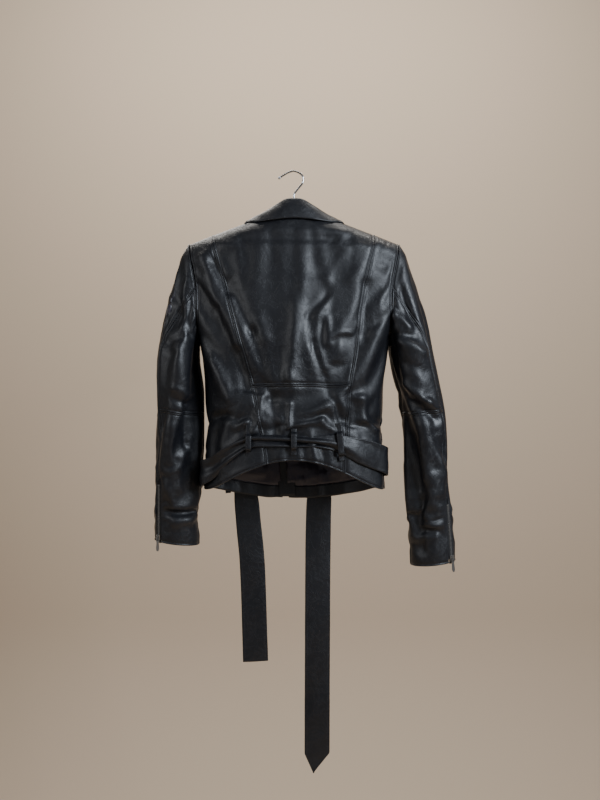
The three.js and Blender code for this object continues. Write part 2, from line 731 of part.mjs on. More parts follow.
const pocketLength = 118;
const pocketTopX = 104;
const pocketFootX = 90;
const pocketTopZ = waistZ - 40;
const weltHalf = 9;
const weltThickness = 1.2;
for (const [name, side] of [["left", 1], ["right", -1]]) {
  const lift = weltThickness / 2 + 0.4;
  const head = onFront(side * pocketTopX, pocketTopZ, lift);
  const foot = onFront(side * pocketFootX, pocketTopZ - pocketLength, lift);
  const middle = head.clone().lerp(foot, 0.5);
  const slope = (frontY(middle.x + 1, middle.z) - frontY(middle.x - 1, middle.z)) / 2;
  const frame = zipFrame(foot, head, V(slope, -1, 0));
  const rectangle = (w, past) => [[-w, -past], [w, -past], [w, frame.length + past], [-w, frame.length + past]];
  const welt = plate(rectangle(weltHalf, 7), weltThickness, [rectangle(tapeHalf + 0.3, 2.6).reverse()]);
  add("pocket_welt_" + name, welt, leatherMaterial, frame.group);
  frame.group.updateMatrixWorld(true);
  const mouth = plate(rectangle(tapeHalf + 0.3, 0.6), 12).applyMatrix4(frame.group.matrixWorld);
  const cut = geometryOf(solid(frontPanels[name]).subtract(solid(mouth)));
  add("front_panel_" + name, cut, leatherMaterial);
  addClosedZip("pocket_zip", "_" + name, frame, frame.length - sliderLength);
}

// ---- Press studs on the lapel tips and collar points ----
const studRadius = 6;
const studHeight = 2.6;
function stud(name, x, z, lift) {
  const outline = [[0, 0], [studRadius, 0], [studRadius, 1], [studRadius - 1.6, studHeight - 0.4], [0, studHeight]];
  const dome = new THREE.LatheGeometry(outline.map(([r, y]) => new THREE.Vector2(r, y)), 16);
  const slopeX = (frontY(x + 3, z) - frontY(x - 3, z)) / 6;
  const slopeZ = (frontY(x, z + 3) - frontY(x, z - 3)) / 6;
  const out = V(slopeX, -1, slopeZ).normalize();
  const mesh = add(name, dome, metalMaterial);
  mesh.quaternion.setFromUnitVectors(V(0, 1, 0), out);
  mesh.position.copy(onFront(x, z, lift));
}
const studInset = 15;
for (const [name, side] of [["left", 1], ["right", -1]]) {
  stud("lapel_stud_" + name, side * (neckHalf + 46 - studInset), neckZ - 40 - 58 - 2, lapelLift + 0.6);
}

// ---- Belt, and the loops that carry it ----
const beltOff = 4.5; // belt's middle to the leather under it
const gathered = 12; // half the belt's height where it is bunched in the back loops
function beltStation(x, z, faceY, lift, half, lean = 0) {
  const out = faceY === backY ? 1 : -1;
  return { p: V(x, faceY(x, z) + out * lift, z), w: V(lean, 0, 1).normalize().multiplyScalar(half) };
}
const beltHalf = beltWidth / 2;
const tailY = -frontDepthHem - 14;
const leftTurnZ = sideHemZ + 8;
const rightTurnZ = sideHemZ + 30;
const tailStation = (x, z) => ({ p: V(x, tailY, z), w: V(beltHalf, 0, 0) });
const sideStation = (x, y, z) => ({ p: V(x, y, z), w: V(0, 0, beltHalf) });
const sideOut = halfWidth(sideHemZ) + 5;
const beltPath = [
  tailStation(78, leftTurnZ - 30 - beltTailLeft),
  tailStation(84, leftTurnZ - 180),
  tailStation(92, leftTurnZ - 90),
  { p: V(98, tailY, leftTurnZ - 30), w: V(0.96, 0, 0.28).multiplyScalar(beltHalf) },
  { p: V(106, tailY + 5, leftTurnZ + 6), w: V(0.6, 0, 0.8).multiplyScalar(beltHalf) },
  beltStation(134, leftTurnZ + 16, frontY, 8, beltHalf, 0.1),
  sideStation(sideOut - 4, -36, leftTurnZ + 18),
  sideStation(sideOut, 0, leftTurnZ + 16),
  sideStation(sideOut - 6, 34, leftTurnZ + 26),
  beltStation(132, beltZ - 34, backY, beltOff + 2, beltHalf * 0.8, 0.25),
  beltStation(82, beltZ - 3, backY, beltOff, gathered),
  beltStation(40, beltZ + 2, backY, beltOff, gathered),
  beltStation(0, beltZ + 2, backY, beltOff, gathered),
  beltStation(-45, beltZ + 1, backY, beltOff, gathered),
  beltStation(-88, beltZ - 3, backY, beltOff, gathered + 3),
  beltStation(-132, beltZ - 22, backY, beltOff + 1, beltHalf * 0.9, -0.1),
  sideStation(-sideOut + 4, 34, rightTurnZ + 20),
  sideStation(-sideOut, 0, rightTurnZ + 18),
  sideStation(-sideOut + 6, -34, rightTurnZ + 14),
  beltStation(-128, rightTurnZ + 8, frontY, 8, beltHalf, -0.1),
  { p: V(-76, tailY + 5, rightTurnZ - 4), w: V(-0.5, 0, 0.87).multiplyScalar(beltHalf) },
  { p: V(-54, tailY, rightTurnZ - 38), w: V(-0.94, 0, 0.34).multiplyScalar(beltHalf) },
  { p: V(-48, tailY, rightTurnZ - 100), w: V(-beltHalf, 0, 0) },
  { p: V(-46, tailY, rightTurnZ - 300), w: V(-beltHalf, 0, 0) },
  { p: V(-46, tailY, rightTurnZ - 8 - beltTailRight + 30), w: V(-beltHalf, 0, 0) },
  { p: V(-50, tailY, rightTurnZ - 8 - beltTailRight), w: V(-5, 0, 0) },
];

// A flat strap through stations, each a point and a vector to its edge.
function strap(stations, steps, thickness) {
  const centre = new THREE.CatmullRomCurve3(stations.map((s) => s.p));
  const edge = new THREE.CatmullRomCurve3(stations.map((s) => s.w));
  const outer = [];
  const inner = [];
  for (let i = 0; i <= steps; i++) {
    const at = i / steps;
    const p = centre.getPoint(at);
    const w = edge.getPoint(at);
    const way = centre.getTangent(at);
    w.addScaledVector(way, -w.dot(way));
    const out = way.clone().cross(w).normalize().multiplyScalar(thickness / 2);
    outer.push([p.clone().add(w).add(out), p.clone().sub(w).add(out)]);
    inner.push([p.clone().add(w).sub(out), p.clone().sub(w).sub(out)]);
  }
  return slab(outer, inner);
}
add("belt", strap(beltPath, 100, beltThickness), leatherMaterial);

// A loop over the belt at one of its stations, its ends sewn to the panel above and below.
const loopWidth = 8;
const loopThickness = 1.6;
function beltLoop(name, station, faceY) {
  const { p, w } = beltPath[station];
  const way = beltPath[station + 1].p.clone().sub(beltPath[station - 1].p);
  way.addScaledVector(w, -way.dot(w) / w.lengthSq()).normalize();
  const side = way.clone().multiplyScalar(loopWidth / 2);
  const out = way.clone().cross(w).normalize();
  if (out.y * (faceY === backY ? 1 : -1) < 0) out.negate();
  const off = beltThickness / 2 + loopThickness / 2 + 1.9;
  const room = 0.375 * (0.8 * beltHalf - gathered); // the belt widens on either side of a loop
  const over = (share, extra) => {
    const point = p.clone().addScaledVector(w, share).addScaledVector(w.clone().normalize(), Math.sign(share) * extra);
    return { p: point.addScaledVector(out, off), w: side };
  };
  const sewn = (share, extra) => {
    const at = over(share, extra);
    const face = faceY(at.p.x, at.p.z) + Math.sign(out.y) * (loopThickness / 2 + 0.8);
    return { p: V(at.p.x, face, at.p.z), w: side };
  };
  const upper = [sewn(1, 2 * room + 5), sewn(1, 2 * room), over(1, room), over(0.5, 0)];
  const lower = [over(-0.5, 0), over(-1, room), sewn(-1, 2 * room), sewn(-1, 2 * room + 5)];
  add(name, strap([...upper, over(0, 0), ...lower], 22, loopThickness), leatherMaterial);
}
beltLoop("belt_loop_back_left", 10, backY);
beltLoop("belt_loop_back_centre", 12, backY);
beltLoop("belt_loop_back_right", 14, backY);
beltLoop("belt_loop_front_left", 5, frontY);
beltLoop("belt_loop_front_right", 19, frontY);

// ---- Hanger ----
const hangerClear = leather + liningDepth + lining + 0.48 * hangerThickness;
const hangerHalf = shoulderHalf - 12;
function hangerBody() {
  const top = (x) => shoulderLine(x) - hangerClear;
  const shape = new THREE.Shape();
  shape.moveTo(-hangerHalf, top(hangerHalf) - 4);
  shape.lineTo(-neckHalf, top(neckHalf) - 2);
  shape.quadraticCurveTo(-30, top(30) + 1, -10, top(0) + 1);
  shape.lineTo(10, top(0) + 1);
  shape.quadraticCurveTo(30, top(30) + 1, neckHalf, top(neckHalf) - 2);
  shape.lineTo(hangerHalf, top(hangerHalf) - 4);
  shape.quadraticCurveTo(hangerHalf + 4, top(hangerHalf) - 12, hangerHalf - 2, top(hangerHalf) - hangerHeight * 0.8);
  shape.quadraticCurveTo(neckHalf, top(neckHalf) - hangerHeight - 4, 0, top(0) - hangerHeight - 8);
  shape.quadraticCurveTo(-neckHalf, top(neckHalf) - hangerHeight - 4, -hangerHalf + 2, top(hangerHalf) - hangerHeight * 0.8);
  shape.quadraticCurveTo(-hangerHalf - 4, top(hangerHalf) - 12, -hangerHalf, top(hangerHalf) - 4);
  const geometry = new THREE.ExtrudeGeometry(shape, { depth: hangerThickness, bevelEnabled: false, curveSegments: 6 });
  return geometry.translate(0, 0, -hangerThickness / 2).rotateX(Math.PI / 2);
}
const hangerTop = shoulderLine(0) - hangerClear + 1;
const boreRadius = hookWire + 0.25;
const boreDepth = 20;
const bore = new THREE.CylinderGeometry(boreRadius, boreRadius, boreDepth, 12).rotateX(Math.PI / 2);
const bored = solid(hangerBody()).subtract(solid(bore.translate(0, 0, hangerTop - boreDepth / 2 + 0.5)));
add("hanger_bar", geometryOf(bored), woodMaterial);

function ringProfile(inner, outer, height) {
  const outline = [[inner, 0], [outer, 0], [outer, height * 0.6], [outer - 1, height], [inner, height], [inner, 0]];
  return new THREE.LatheGeometry(outline.map(([r, y]) => new THREE.Vector2(r, y)), 16).rotateX(Math.PI / 2);
}
const ferruleHeight = 5;
add("hanger_ferrule", ringProfile(boreRadius, 5.5, ferruleHeight), metalMaterial).position.z = hangerTop + 0.3;

// The hook: up from the hanger, round over the rail, and down to a free end on the wearer's left.
function hook() {
  const r = hookRadius + hookWire;
  const seat = hookWire;
  const stemTop = seat - r - 22;
  const path = new THREE.CatmullRomCurve3([
    V(0, 0, hangerTop - boreDepth + 3),
    V(0, 0, hangerTop - 8),
    V(0, 0, hangerTop),
    V(0, 0, hangerTop + 8),
    V(0, 0, stemTop - 9),
    V(0, 0, stemTop),
    V(-7, 0, seat - r - 12),
    V(-15.5, 0, seat - r - 1),
    V(-17, 0, seat - r + 9),
    V(-12, 0, seat - 5),
    V(0, 0, seat),
    V(11, 0, seat - 2.6),
    V(19, 0, seat - 7),
    V(27, 0, seat - 12),
  ]);
  const section = new THREE.Shape().absarc(0, 0, hookWire, 0, 2 * Math.PI);
  return new THREE.ExtrudeGeometry(section, { steps: 36, curveSegments: 4, extrudePath: path, bevelEnabled: false });
}
const wire = solid(hook());
const ballEnd = new THREE.SphereGeometry(hookWire + 1, 10, 8).translate(27, 0, hookWire - 12);
add("hanger_hook", geometryOf(wire.add(solid(ballEnd))), metalMaterial);

// ---- The hanging loop inside the back neck ----
const tabStations = [-1, -0.8, 0, 0.8, 1].map((share) => {
  const x = share * 34;
  const bow = 1 - share * share;
  const z = necklineZ - 24 + bow * 5;
  return { p: V(x, backY(x, z) - liningDepth - lining - leather - 2.3 - bow * 7.5, z), w: V(0, 0, 3) };
});
add("hanging_loop", strap(tabStations, 10, 1.2), leatherMaterial);

export default jacket;
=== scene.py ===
import math
import bmesh
import bpy
import numpy as np
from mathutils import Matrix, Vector


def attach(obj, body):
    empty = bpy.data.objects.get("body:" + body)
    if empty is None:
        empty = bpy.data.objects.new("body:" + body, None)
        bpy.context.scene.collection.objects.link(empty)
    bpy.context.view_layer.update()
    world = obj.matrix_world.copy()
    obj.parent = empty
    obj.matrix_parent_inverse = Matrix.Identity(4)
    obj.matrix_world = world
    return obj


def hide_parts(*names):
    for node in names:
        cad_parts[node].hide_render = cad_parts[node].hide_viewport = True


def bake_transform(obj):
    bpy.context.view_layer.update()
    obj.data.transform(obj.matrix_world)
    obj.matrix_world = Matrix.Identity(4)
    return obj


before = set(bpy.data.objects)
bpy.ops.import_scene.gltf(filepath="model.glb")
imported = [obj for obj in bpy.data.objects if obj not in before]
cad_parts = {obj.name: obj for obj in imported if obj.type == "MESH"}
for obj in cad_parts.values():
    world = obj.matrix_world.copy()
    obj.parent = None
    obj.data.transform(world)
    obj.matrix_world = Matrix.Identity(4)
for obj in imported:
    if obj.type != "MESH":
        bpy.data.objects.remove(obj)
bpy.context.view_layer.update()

# ---- The cut of the body ----
# The jacket's body is cut as back, side and front panels that meet in long seams. The lines below give its
# half width, its depth and its seams at each height, in millimetres, with z measured from the hook's seat.
NECK, TIP = -89.0, -139.0
UNDERARM, WAIST, SIDE_HEM = -317.0, -405.0, -600.0
BELT, NECKLINE, BREAK = -508.0, -94.0, -335.0
NECK_HALF, SHOULDER_HALF = 68.0, 198.0
LEATHER = 1.4


def line(*knots, soften=16.0):
    """A value against height, through (height, value) pairs from the top down, its corners softened."""
    heights = np.array([k[0] for k in knots][::-1], float)
    values = np.array([k[1] for k in knots][::-1], float)
    return lambda z: sum(np.interp(z + d * soften, heights, values) for d in (-1, -0.5, 0, 0.5, 1)) / 5


half_width = line((TIP, 198), (-219, 182), (UNDERARM, 180), (WAIST, 166), (BELT, 163), (SIDE_HEM, 171))
back_depth = line((NECKLINE, 42), (TIP, 56.4), (UNDERARM, 78), (WAIST, 74), (SIDE_HEM, 78))
front_depth = line((NECKLINE, 36), (TIP, 46.4), (UNDERARM, 62), (-627, 70))
princess_left = line((TIP, 152), (-226, 125), (WAIST, 76), (-542, 50))
princess_right = line((TIP, 150), (-226, 129), (WAIST, 104), (-542, 92))


def shoulder_line(x):
    return NECK - (abs(x) - NECK_HALF) * 50 / 130


def body_y(x, z, depth):
    """Distance of the leather's face in front of or behind the side seam."""
    above = np.clip((z - UNDERARM) / 50, 0, 1)
    across = np.minimum(1, abs(x) / half_width(z))
    sideways = np.maximum(0, 1 - (1 - 0.25 * above) * across**2.4) ** (1 / 2.4)
    down = np.clip((shoulder_line(x) - z) / 40, 0, 1)
    return depth * sideways * np.sqrt(1 - (1 - down) ** 2)


def zip_x(z):
    return 18 + 22 * (z + 621) / 286


def left_edge(z):
    return np.where(z <= BREAK, zip_x(z) + 6.1, 46.1 + 21.9 * (z - BREAK) / (NECK - BREAK))


def column_x(column, z, stops):
    i = max(1, next(k for k, s in enumerate(stops) if s[0] >= column - 1e-9))
    (c0, a), (c1, b) = stops[i - 1], stops[i]
    share = (column - c0) / (c1 - c0)
    if i == 1:
        share = 1 - math.sin(math.pi / 2 * (1 - share))
    if i == len(stops) - 1:
        share = math.sin(math.pi / 2 * share)
    return a(z) * (1 - share) + b(z) * share


def front_top(x):
    if abs(x) >= NECK_HALF:
        return shoulder_line(x)
    across = (40 - x) / (40 + NECK_HALF) if x < 40 else (x - 40) / (NECK_HALF - 40)
    return BREAK + (NECK - BREAK) * across


def hem_arc(x, z):
    return 1 - np.minimum(1, abs(x) / half_width(z)) ** 2


def cut_grid(stops, side, rows, columns):
    """Points on the leather's face: rows run from hem to shoulder, columns from left to right as worn."""
    grid = np.zeros((len(rows), len(columns), 3))
    for i, column in enumerate(columns):
        top = NECK
        for _ in range(60):
            x_top = float(column_x(column, top, stops))
            if side < 0:
                peak = front_top(x_top)
            else:
                peak = shoulder_line(x_top) if abs(x_top) >= NECK_HALF else NECKLINE
            top = 0.5 * (top + peak)
        x_hem = float(column_x(column, SIDE_HEM, stops))
        hem_rise = hem_arc(x_hem, SIDE_HEM)
        hem = SIDE_HEM + (58 * hem_rise**1.5 if side > 0 else -27 * hem_rise)
        full = NECK if abs(x_top) < NECK_HALF and side < 0 else top
        z = np.interp(rows, (0, 1, 4, 7, 15), (hem, hem + 24, WAIST, UNDERARM, full))
        z = np.where(rows > 1, hem + 24 + (z - hem - 24) * (top - hem - 24) / (full - hem - 24), z)
        x = column_x(column, z, stops)
        y = side * body_y(x, z, back_depth(z) if side > 0 else front_depth(z))
        if abs(x[-1]) >= NECK_HALF - 0.05:
            y[-1] = 0
        grid[:, i] = np.stack([x, y, z], 1)
    return grid


BACK_STOPS = [
    (0, half_width), (4, princess_left), (13, lambda z: -princess_right(z)), (17, lambda z: -half_width(z)),
]
FRONT_STOPS = [
    (0, half_width),
    (3, lambda z: 0.66 * half_width(z)),
    (8, left_edge),
    (9, lambda z: zip_x(z) - 6.1),
    (14, lambda z: -NECK_HALF / SHOULDER_HALF * half_width(z)),
    (17, lambda z: -0.66 * half_width(z)),
    (20, lambda z: -half_width(z)),
]
over_shoulder = 15 - 1.45 * (1 - np.cos(np.radians(np.linspace(90, 0, 10))))
ROWS = np.concatenate([
    np.linspace(0, 1, 4)[:-1],
    np.linspace(1, 4, 25)[:-1],
    np.linspace(4, 7, 13)[:-1],
    np.linspace(7, 13.55, 27)[:-1],
    over_shoulder,
])
BACK_COLUMNS = np.concatenate([
    np.linspace(0, 4, 13)[:-1], np.linspace(4, 13, 41)[:-1], np.linspace(13, 17, 13),
])
FRONT_COLUMNS = np.concatenate([
    np.linspace(0, 3, 10)[:-1],
    np.linspace(3, 8, 17)[:-1],
    np.linspace(8, 9, 3)[:-1],
    np.linspace(9, 17, 33)[:-1],
    np.linspace(17, 20, 10),
])
back_cut = cut_grid(BACK_STOPS, 1, ROWS, BACK_COLUMNS)
front_cut = cut_grid(FRONT_STOPS, -1, ROWS, FRONT_COLUMNS)


def normals_of(grid, inside, wraps=False):
    """Unit normals of a grid of points, pointing away from inside. wraps: the last column meets the first."""
    if wraps:
        along = np.roll(grid, -1, 1) - np.roll(grid, 1, 1)
    else:
        along = np.gradient(grid, axis=1)
    up = np.gradient(grid, axis=0)
    n = np.cross(along, up)
    n /= np.linalg.norm(n, axis=2, keepdims=True) + 1e-12
    return n if np.sum(n * (grid - inside)) > 0 else -n


def spine(grid):
    """The line inside the body that its faces look away from."""
    middle = np.zeros_like(grid)
    middle[..., 2] = np.minimum(grid[..., 2], TIP - 10)
    return middle


# ---- Folds pulled into the leather ----
# Hanging from its shoulders and drawn in by the belt, the leather falls in long folds. Each is given by its
# two ends as (x, z), its half width and its height: ridges stand out, valleys have a negative height.
def fold(grid, normals, folds, facing=1):
    lift = np.zeros(grid.shape[:2])
    x, z = grid[..., 0], grid[..., 2]
    for x0, z0, x1, z1, width, height in folds:
        run = np.array([x1 - x0, z1 - z0])
        length = max(np.hypot(*run), 1e-6)
        along = ((x - x0) * run[0] + (z - z0) * run[1]) / length
        share = np.clip(along / length, 0, 1)
        off = np.hypot(x - x0 - run[0] * share, z - z0 - run[1] * share)
        lift += height * np.exp(-((off / width) ** 2))
    seen = np.clip(normals[..., 1] * facing * 3 + 0.6, 0, 1)
    return lift * seen


BACK_FOLDS = [
    (95, -136, -72, -138, 9, -2.6), (32, -122, -98, -123, 8, 1.8), (132, -148, -141, -151, 8, 1.6),
    (-14, -224, -63, -215, 9, 2.6), (-63, -238, -26, -281, 6, -3.4), (-117, -198, -107, -214, 13, 3.0),
    (-43, -279, -51, -267, 14, 3.2), (-61, -284, -64, -330, 6, 2.2), (-51, -293, -48, -336, 5, -1.8),
    (-72, -313, -104, -310, 5, 2.2), (-86, -342, -86, -346, 17, 2.6), (-73, -372, -103, -367, 7, -2.2),
    (-3, -261, 8, -393, 14, 4.2), (8, -393, 4, -430, 16, 4.2), (-35, -330, -65, -427, 7, -4.2),
    (-43, -341, -53, -376, 7, 2.4), (118, -215, 77, -309, 10, -4.6), (77, -309, 40, -425, 10, -5.4),
    (51, -321, 63, -287, 12, 1.8), (148, -178, 119, -236, 7, -4.6), (170, -170, 111, -330, 11, 4.2),
    (141, -267, 83, -411, 9, -4.6), (148, -362, 118, -430, 12, 4.4), (-149, -313, -122, -428, 14, 5.2),
    (-134, -223, -126, -316, 11, -4.2), (-164, -188, -158, -316, 10, 2.2), (-95, -159, -59, -208, 9, 1.8),
    (39, -435, 34, -487, 11, -6.0), (8, -440, 9, -484, 4, 4.6), (-8, -480, -50, -472, 6, 4.2),
    (-50, -472, -69, -489, 6, 3.4), (-19, -454, -57, -440, 15, 3.4), (-73, -435, -88, -468, 8, -5.4),
    (-122, -432, -128, -468, 10, 4.6), (-128, -468, -152, -489, 8, 3.6), (88, -474, 74, -493, 5, 4.2),
    (88, -472, 103, -484, 5, 3.6), (122, -461, 143, -464, 8, -3.2), (116, -478, 132, -516, 12, 3.6),
    (59, -430, 69, -487, 8, 3.4), (27, -440, 21, -489, 7, 2.6), (-29, -497, -42, -543, 9, 3.0),
    (-95, -497, -143, -516, 10, 3.0), (95, -497, 133, -554, 12, 3.2), (143, -497, 152, -573, 10, -2.4),
]
FRONT_FOLDS = [
    (150, -170, 110, -300, 12, 3.6), (120, -200, 84, -330, 9, -3.2), (-150, -180, -112, -320, 12, 3.8),
    (-118, -210, -80, -340, 9, -3.2), (90, -360, 120, -470, 13, 3.6), (-96, -360, -130, -470, 13, 3.6),
    (-40, -380, -30, -520, 12, 3.4), (-66, -400, -64, -540, 9, -3.0), (0, -400, 2, -560, 9, -2.2),
    (70, -470, 60, -560, 9, 2.6), (-140, -470, -150, -560, 10, -3.0), (140, -440, 150, -540, 10, 2.6),
    (-20, -560, -110, -580, 12, 2.6), (60, -585, 130, -592, 10, 2.6),
]
back_normals = normals_of(back_cut, spine(back_cut))
front_normals = normals_of(front_cut, spine(front_cut))
back_hung = back_cut + back_normals * 1.25 * fold(back_cut, back_normals, BACK_FOLDS)[..., None]
front_hung = front_cut + front_normals * fold(front_cut, front_normals, FRONT_FOLDS, -1)[..., None]


# ---- Letting the leather hang ----
# The cut pieces are a little larger than the shape they are held to, so they buckle into small wrinkles while
# they hang. The seams, the belt and the hanger hold them; each piece is draped once and its wrinkles kept.
def softened(field, times, wraps):
    """A field of values over a grid, averaged with its neighbours a number of times."""
    for _ in range(times):
        p = np.pad(field, ((1, 1), (0, 0), (0, 0)), mode="edge")
        p = np.pad(p, ((0, 0), (1, 1), (0, 0)), mode="wrap" if wraps else "edge")
        field = 0.5 * field + 0.125 * (p[:-2, 1:-1] + p[2:, 1:-1] + p[1:-1, :-2] + p[1:-1, 2:])
    return field


def drape(name, grids, held, wraps, slack, stiff, limit, frames=26):
    """Lets grids of points hang as one welded cloth and returns how far each point moved, in millimetres."""
    seen, points, weights, faces, maps = {}, [], [], [], []
    for grid, hold in zip(grids, held):
        index = np.zeros(grid.shape[:2], int)
        for r in range(grid.shape[0]):
            for c in range(grid.shape[1]):
                key = tuple(np.round(grid[r, c] * 2).astype(int))
                if key not in seen:
                    seen[key] = len(points)
                    points.append(grid[r, c] / 1000)
                    weights.append(hold[r, c])
                index[r, c] = seen[key]
        maps.append(index)
        spans = grid.shape[1] if wraps else grid.shape[1] - 1
        for r in range(grid.shape[0] - 1):
            for c in range(spans):
                d = (c + 1) % grid.shape[1]
                quad = [index[r, c], index[r, d], index[r + 1, d], index[r + 1, c]]
                quad = [q for k, q in enumerate(quad) if q != quad[k - 1]]
                if len(quad) > 2:
                    faces.append(quad)
    mesh = bpy.data.meshes.new(name)
    mesh.from_pydata(points, [], faces)
    cloth_piece = bpy.data.objects.new(name, mesh)
    bpy.context.scene.collection.objects.link(cloth_piece)
    group = cloth_piece.vertex_groups.new(name="held")
    for i, w in enumerate(weights):
        group.add([i], float(w), "REPLACE")
    cloth = cloth_piece.modifiers.new("hang", "CLOTH")
    s = cloth.settings
    s.quality = 6
    s.mass = 0.4
    s.tension_stiffness = s.compression_stiffness = 60
    s.shear_stiffness = 30
    s.bending_stiffness = stiff
    s.tension_damping = s.compression_damping = s.shear_damping = 25
    s.bending_damping = 4
    s.air_damping = 3
    s.shrink_min = -slack
    s.vertex_group_mass = "held"
    s.pin_stiffness = 1.0
    cloth.point_cache.frame_start = 1
    cloth.point_cache.frame_end = frames
    scene = bpy.context.scene
    for f in range(1, frames + 1):
        scene.frame_set(f)
    shape = cloth_piece.evaluated_get(bpy.context.evaluated_depsgraph_get()).to_mesh()
    hung = np.array([v.co for v in shape.vertices]) * 1000
    moved = hung - np.array(points) * 1000
    bpy.data.objects.remove(cloth_piece)
    bpy.data.meshes.remove(mesh)
    scene.frame_set(1)
    out = []
    for index in maps:
        field = moved[index]
        wrinkles = field - softened(field, 60, wraps)
        size = np.linalg.norm(wrinkles, axis=2, keepdims=True)
        wrinkles *= limit * np.tanh(size / limit) / (size + 1e-9)
        out.append(softened(wrinkles, 1, wraps))
    return out


def holding(grid, columns, seams, side):
    """How firmly each point is held while the leather hangs: 1 is fixed."""
    z = grid[..., 2]
    hold = np.full(z.shape, 0.03)
    for seam in seams:
        hold = np.maximum(hold, 0.22 * np.exp(-(((columns[None, :] - seam) / 0.35) ** 2)))
    around = BELT + (14 if side > 0 else -52)
    hold = np.maximum(hold, 0.85 * np.exp(-(((z - around) / 11) ** 2)))
    hold = np.maximum(hold, np.clip((ROWS[:, None] - 13.7) / 1.0, 0, 1))
    hold[ROWS >= 7, 0] = hold[ROWS >= 7, -1] = 1
    hold = np.maximum(hold, 0.15 * (ROWS[:, None] < 0.4))
    if side < 0:
        hold[:, (columns >= 7.9) & (columns <= 9.1)] = 0.9
    return hold


moved = drape(
    "body_cloth",
    [back_hung, front_hung],
    [holding(back_cut, BACK_COLUMNS, (4, 13), 1), holding(front_cut, FRONT_COLUMNS, (3, 17), -1)],
    False, 0.055, 6.0, 9.0,
)
# The leather lies calmer over the wearer's left shoulder blade and across the top of the back.
calm = np.exp(-(((back_cut[..., 0] - 35) / 62) ** 2) - (((back_cut[..., 2] + 235) / 120) ** 2))
calm = np.maximum(calm, 0.7 * np.clip((back_cut[..., 2] + 200) / 60, 0, 1))
back_hung = back_hung + moved[0] * (0.78 - 0.5 * calm)[..., None]
front_hung = front_hung + moved[1]

# On the front it is pressed flat under the lapels, beside the front zip and round the pocket openings.
front_x, front_z = front_cut[..., 0], front_cut[..., 2]
zip_here = zip_x(front_z)
pressed = 0.85 * np.clip((front_x - zip_here + 42) / 8, 0, 1) * np.clip((zip_here + 24 - front_x) / 8, 0, 1)
pressed = pressed * np.clip((BREAK + 14 - front_z) / 10, 0, 1)
for side in (1, -1):
    way = np.array([-side * 14.0, -118.0]) / np.hypot(14, 118)
    along = (front_x - side * 104) * way[0] + (front_z + 445) * way[1]
    along = np.clip(along, -6, 126)
    off = np.hypot(front_x - side * 104 - way[0] * along, front_z + 445 - way[1] * along)
    pressed = np.maximum(pressed, np.clip((26 - off) / 12, 0, 1))
    s = np.linspace(1, 0, 24)
    control = (side * NECK_HALF + (14 if side > 0 else -2), -187 + 0.55 * (BREAK + 187))
    foot = (40 + side * 9, BREAK + 4)
    free_x = side * 114 * (1 - s) ** 2 + control[0] * 2 * s * (1 - s) + foot[0] * s**2
    free_z = -187 * (1 - s) ** 2 + control[1] * 2 * s * (1 - s) + foot[1] * s**2
    free = np.interp(front_z, [*free_z, -129], [*free_x, side * 70])
    roll = 40 + np.clip((front_z - BREAK) / (NECK - BREAK), 0, 1) * (side * NECK_HALF - 40) + side * 2
    low, high = np.minimum(free, roll), np.maximum(free, roll)
    under = np.clip((front_x - low + 14) / 10, 0, 1) * np.clip((high + 14 - front_x) / 10, 0, 1)
    under = under * np.clip((front_z - BREAK + 12) / 10, 0, 1) * np.clip((-112 - front_z) / 14, 0, 1)
    pressed = np.maximum(pressed, under)
front_hung = front_cut + (front_hung - front_cut) * (1 - 0.96 * softened(pressed[..., None], 3, False))


# ---- Leather and its finish ----
# Soft black leather with a light gloss. Its grain is a net of fine pebbles, with creases where it has bent,
# and the finish is rubbed a little smoother on some patches than on others.
def node(tree, kind, **values):
    made = tree.nodes.new(kind)
    for key, value in values.items():
        if key in ("operation", "data_type", "feature"):
            setattr(made, key, value)
        else:
            made.inputs[key].default_value = value
    return made


def finish(name):
    """A new material with its nodes, its shader and the place of each point on the piece."""
    material = bpy.data.materials.new(name)
    material.use_nodes = True
    tree = material.node_tree
    where = tree.nodes.new("ShaderNodeTexCoord")
    return material, tree, tree.nodes["Principled BSDF"], where.outputs["Object"]


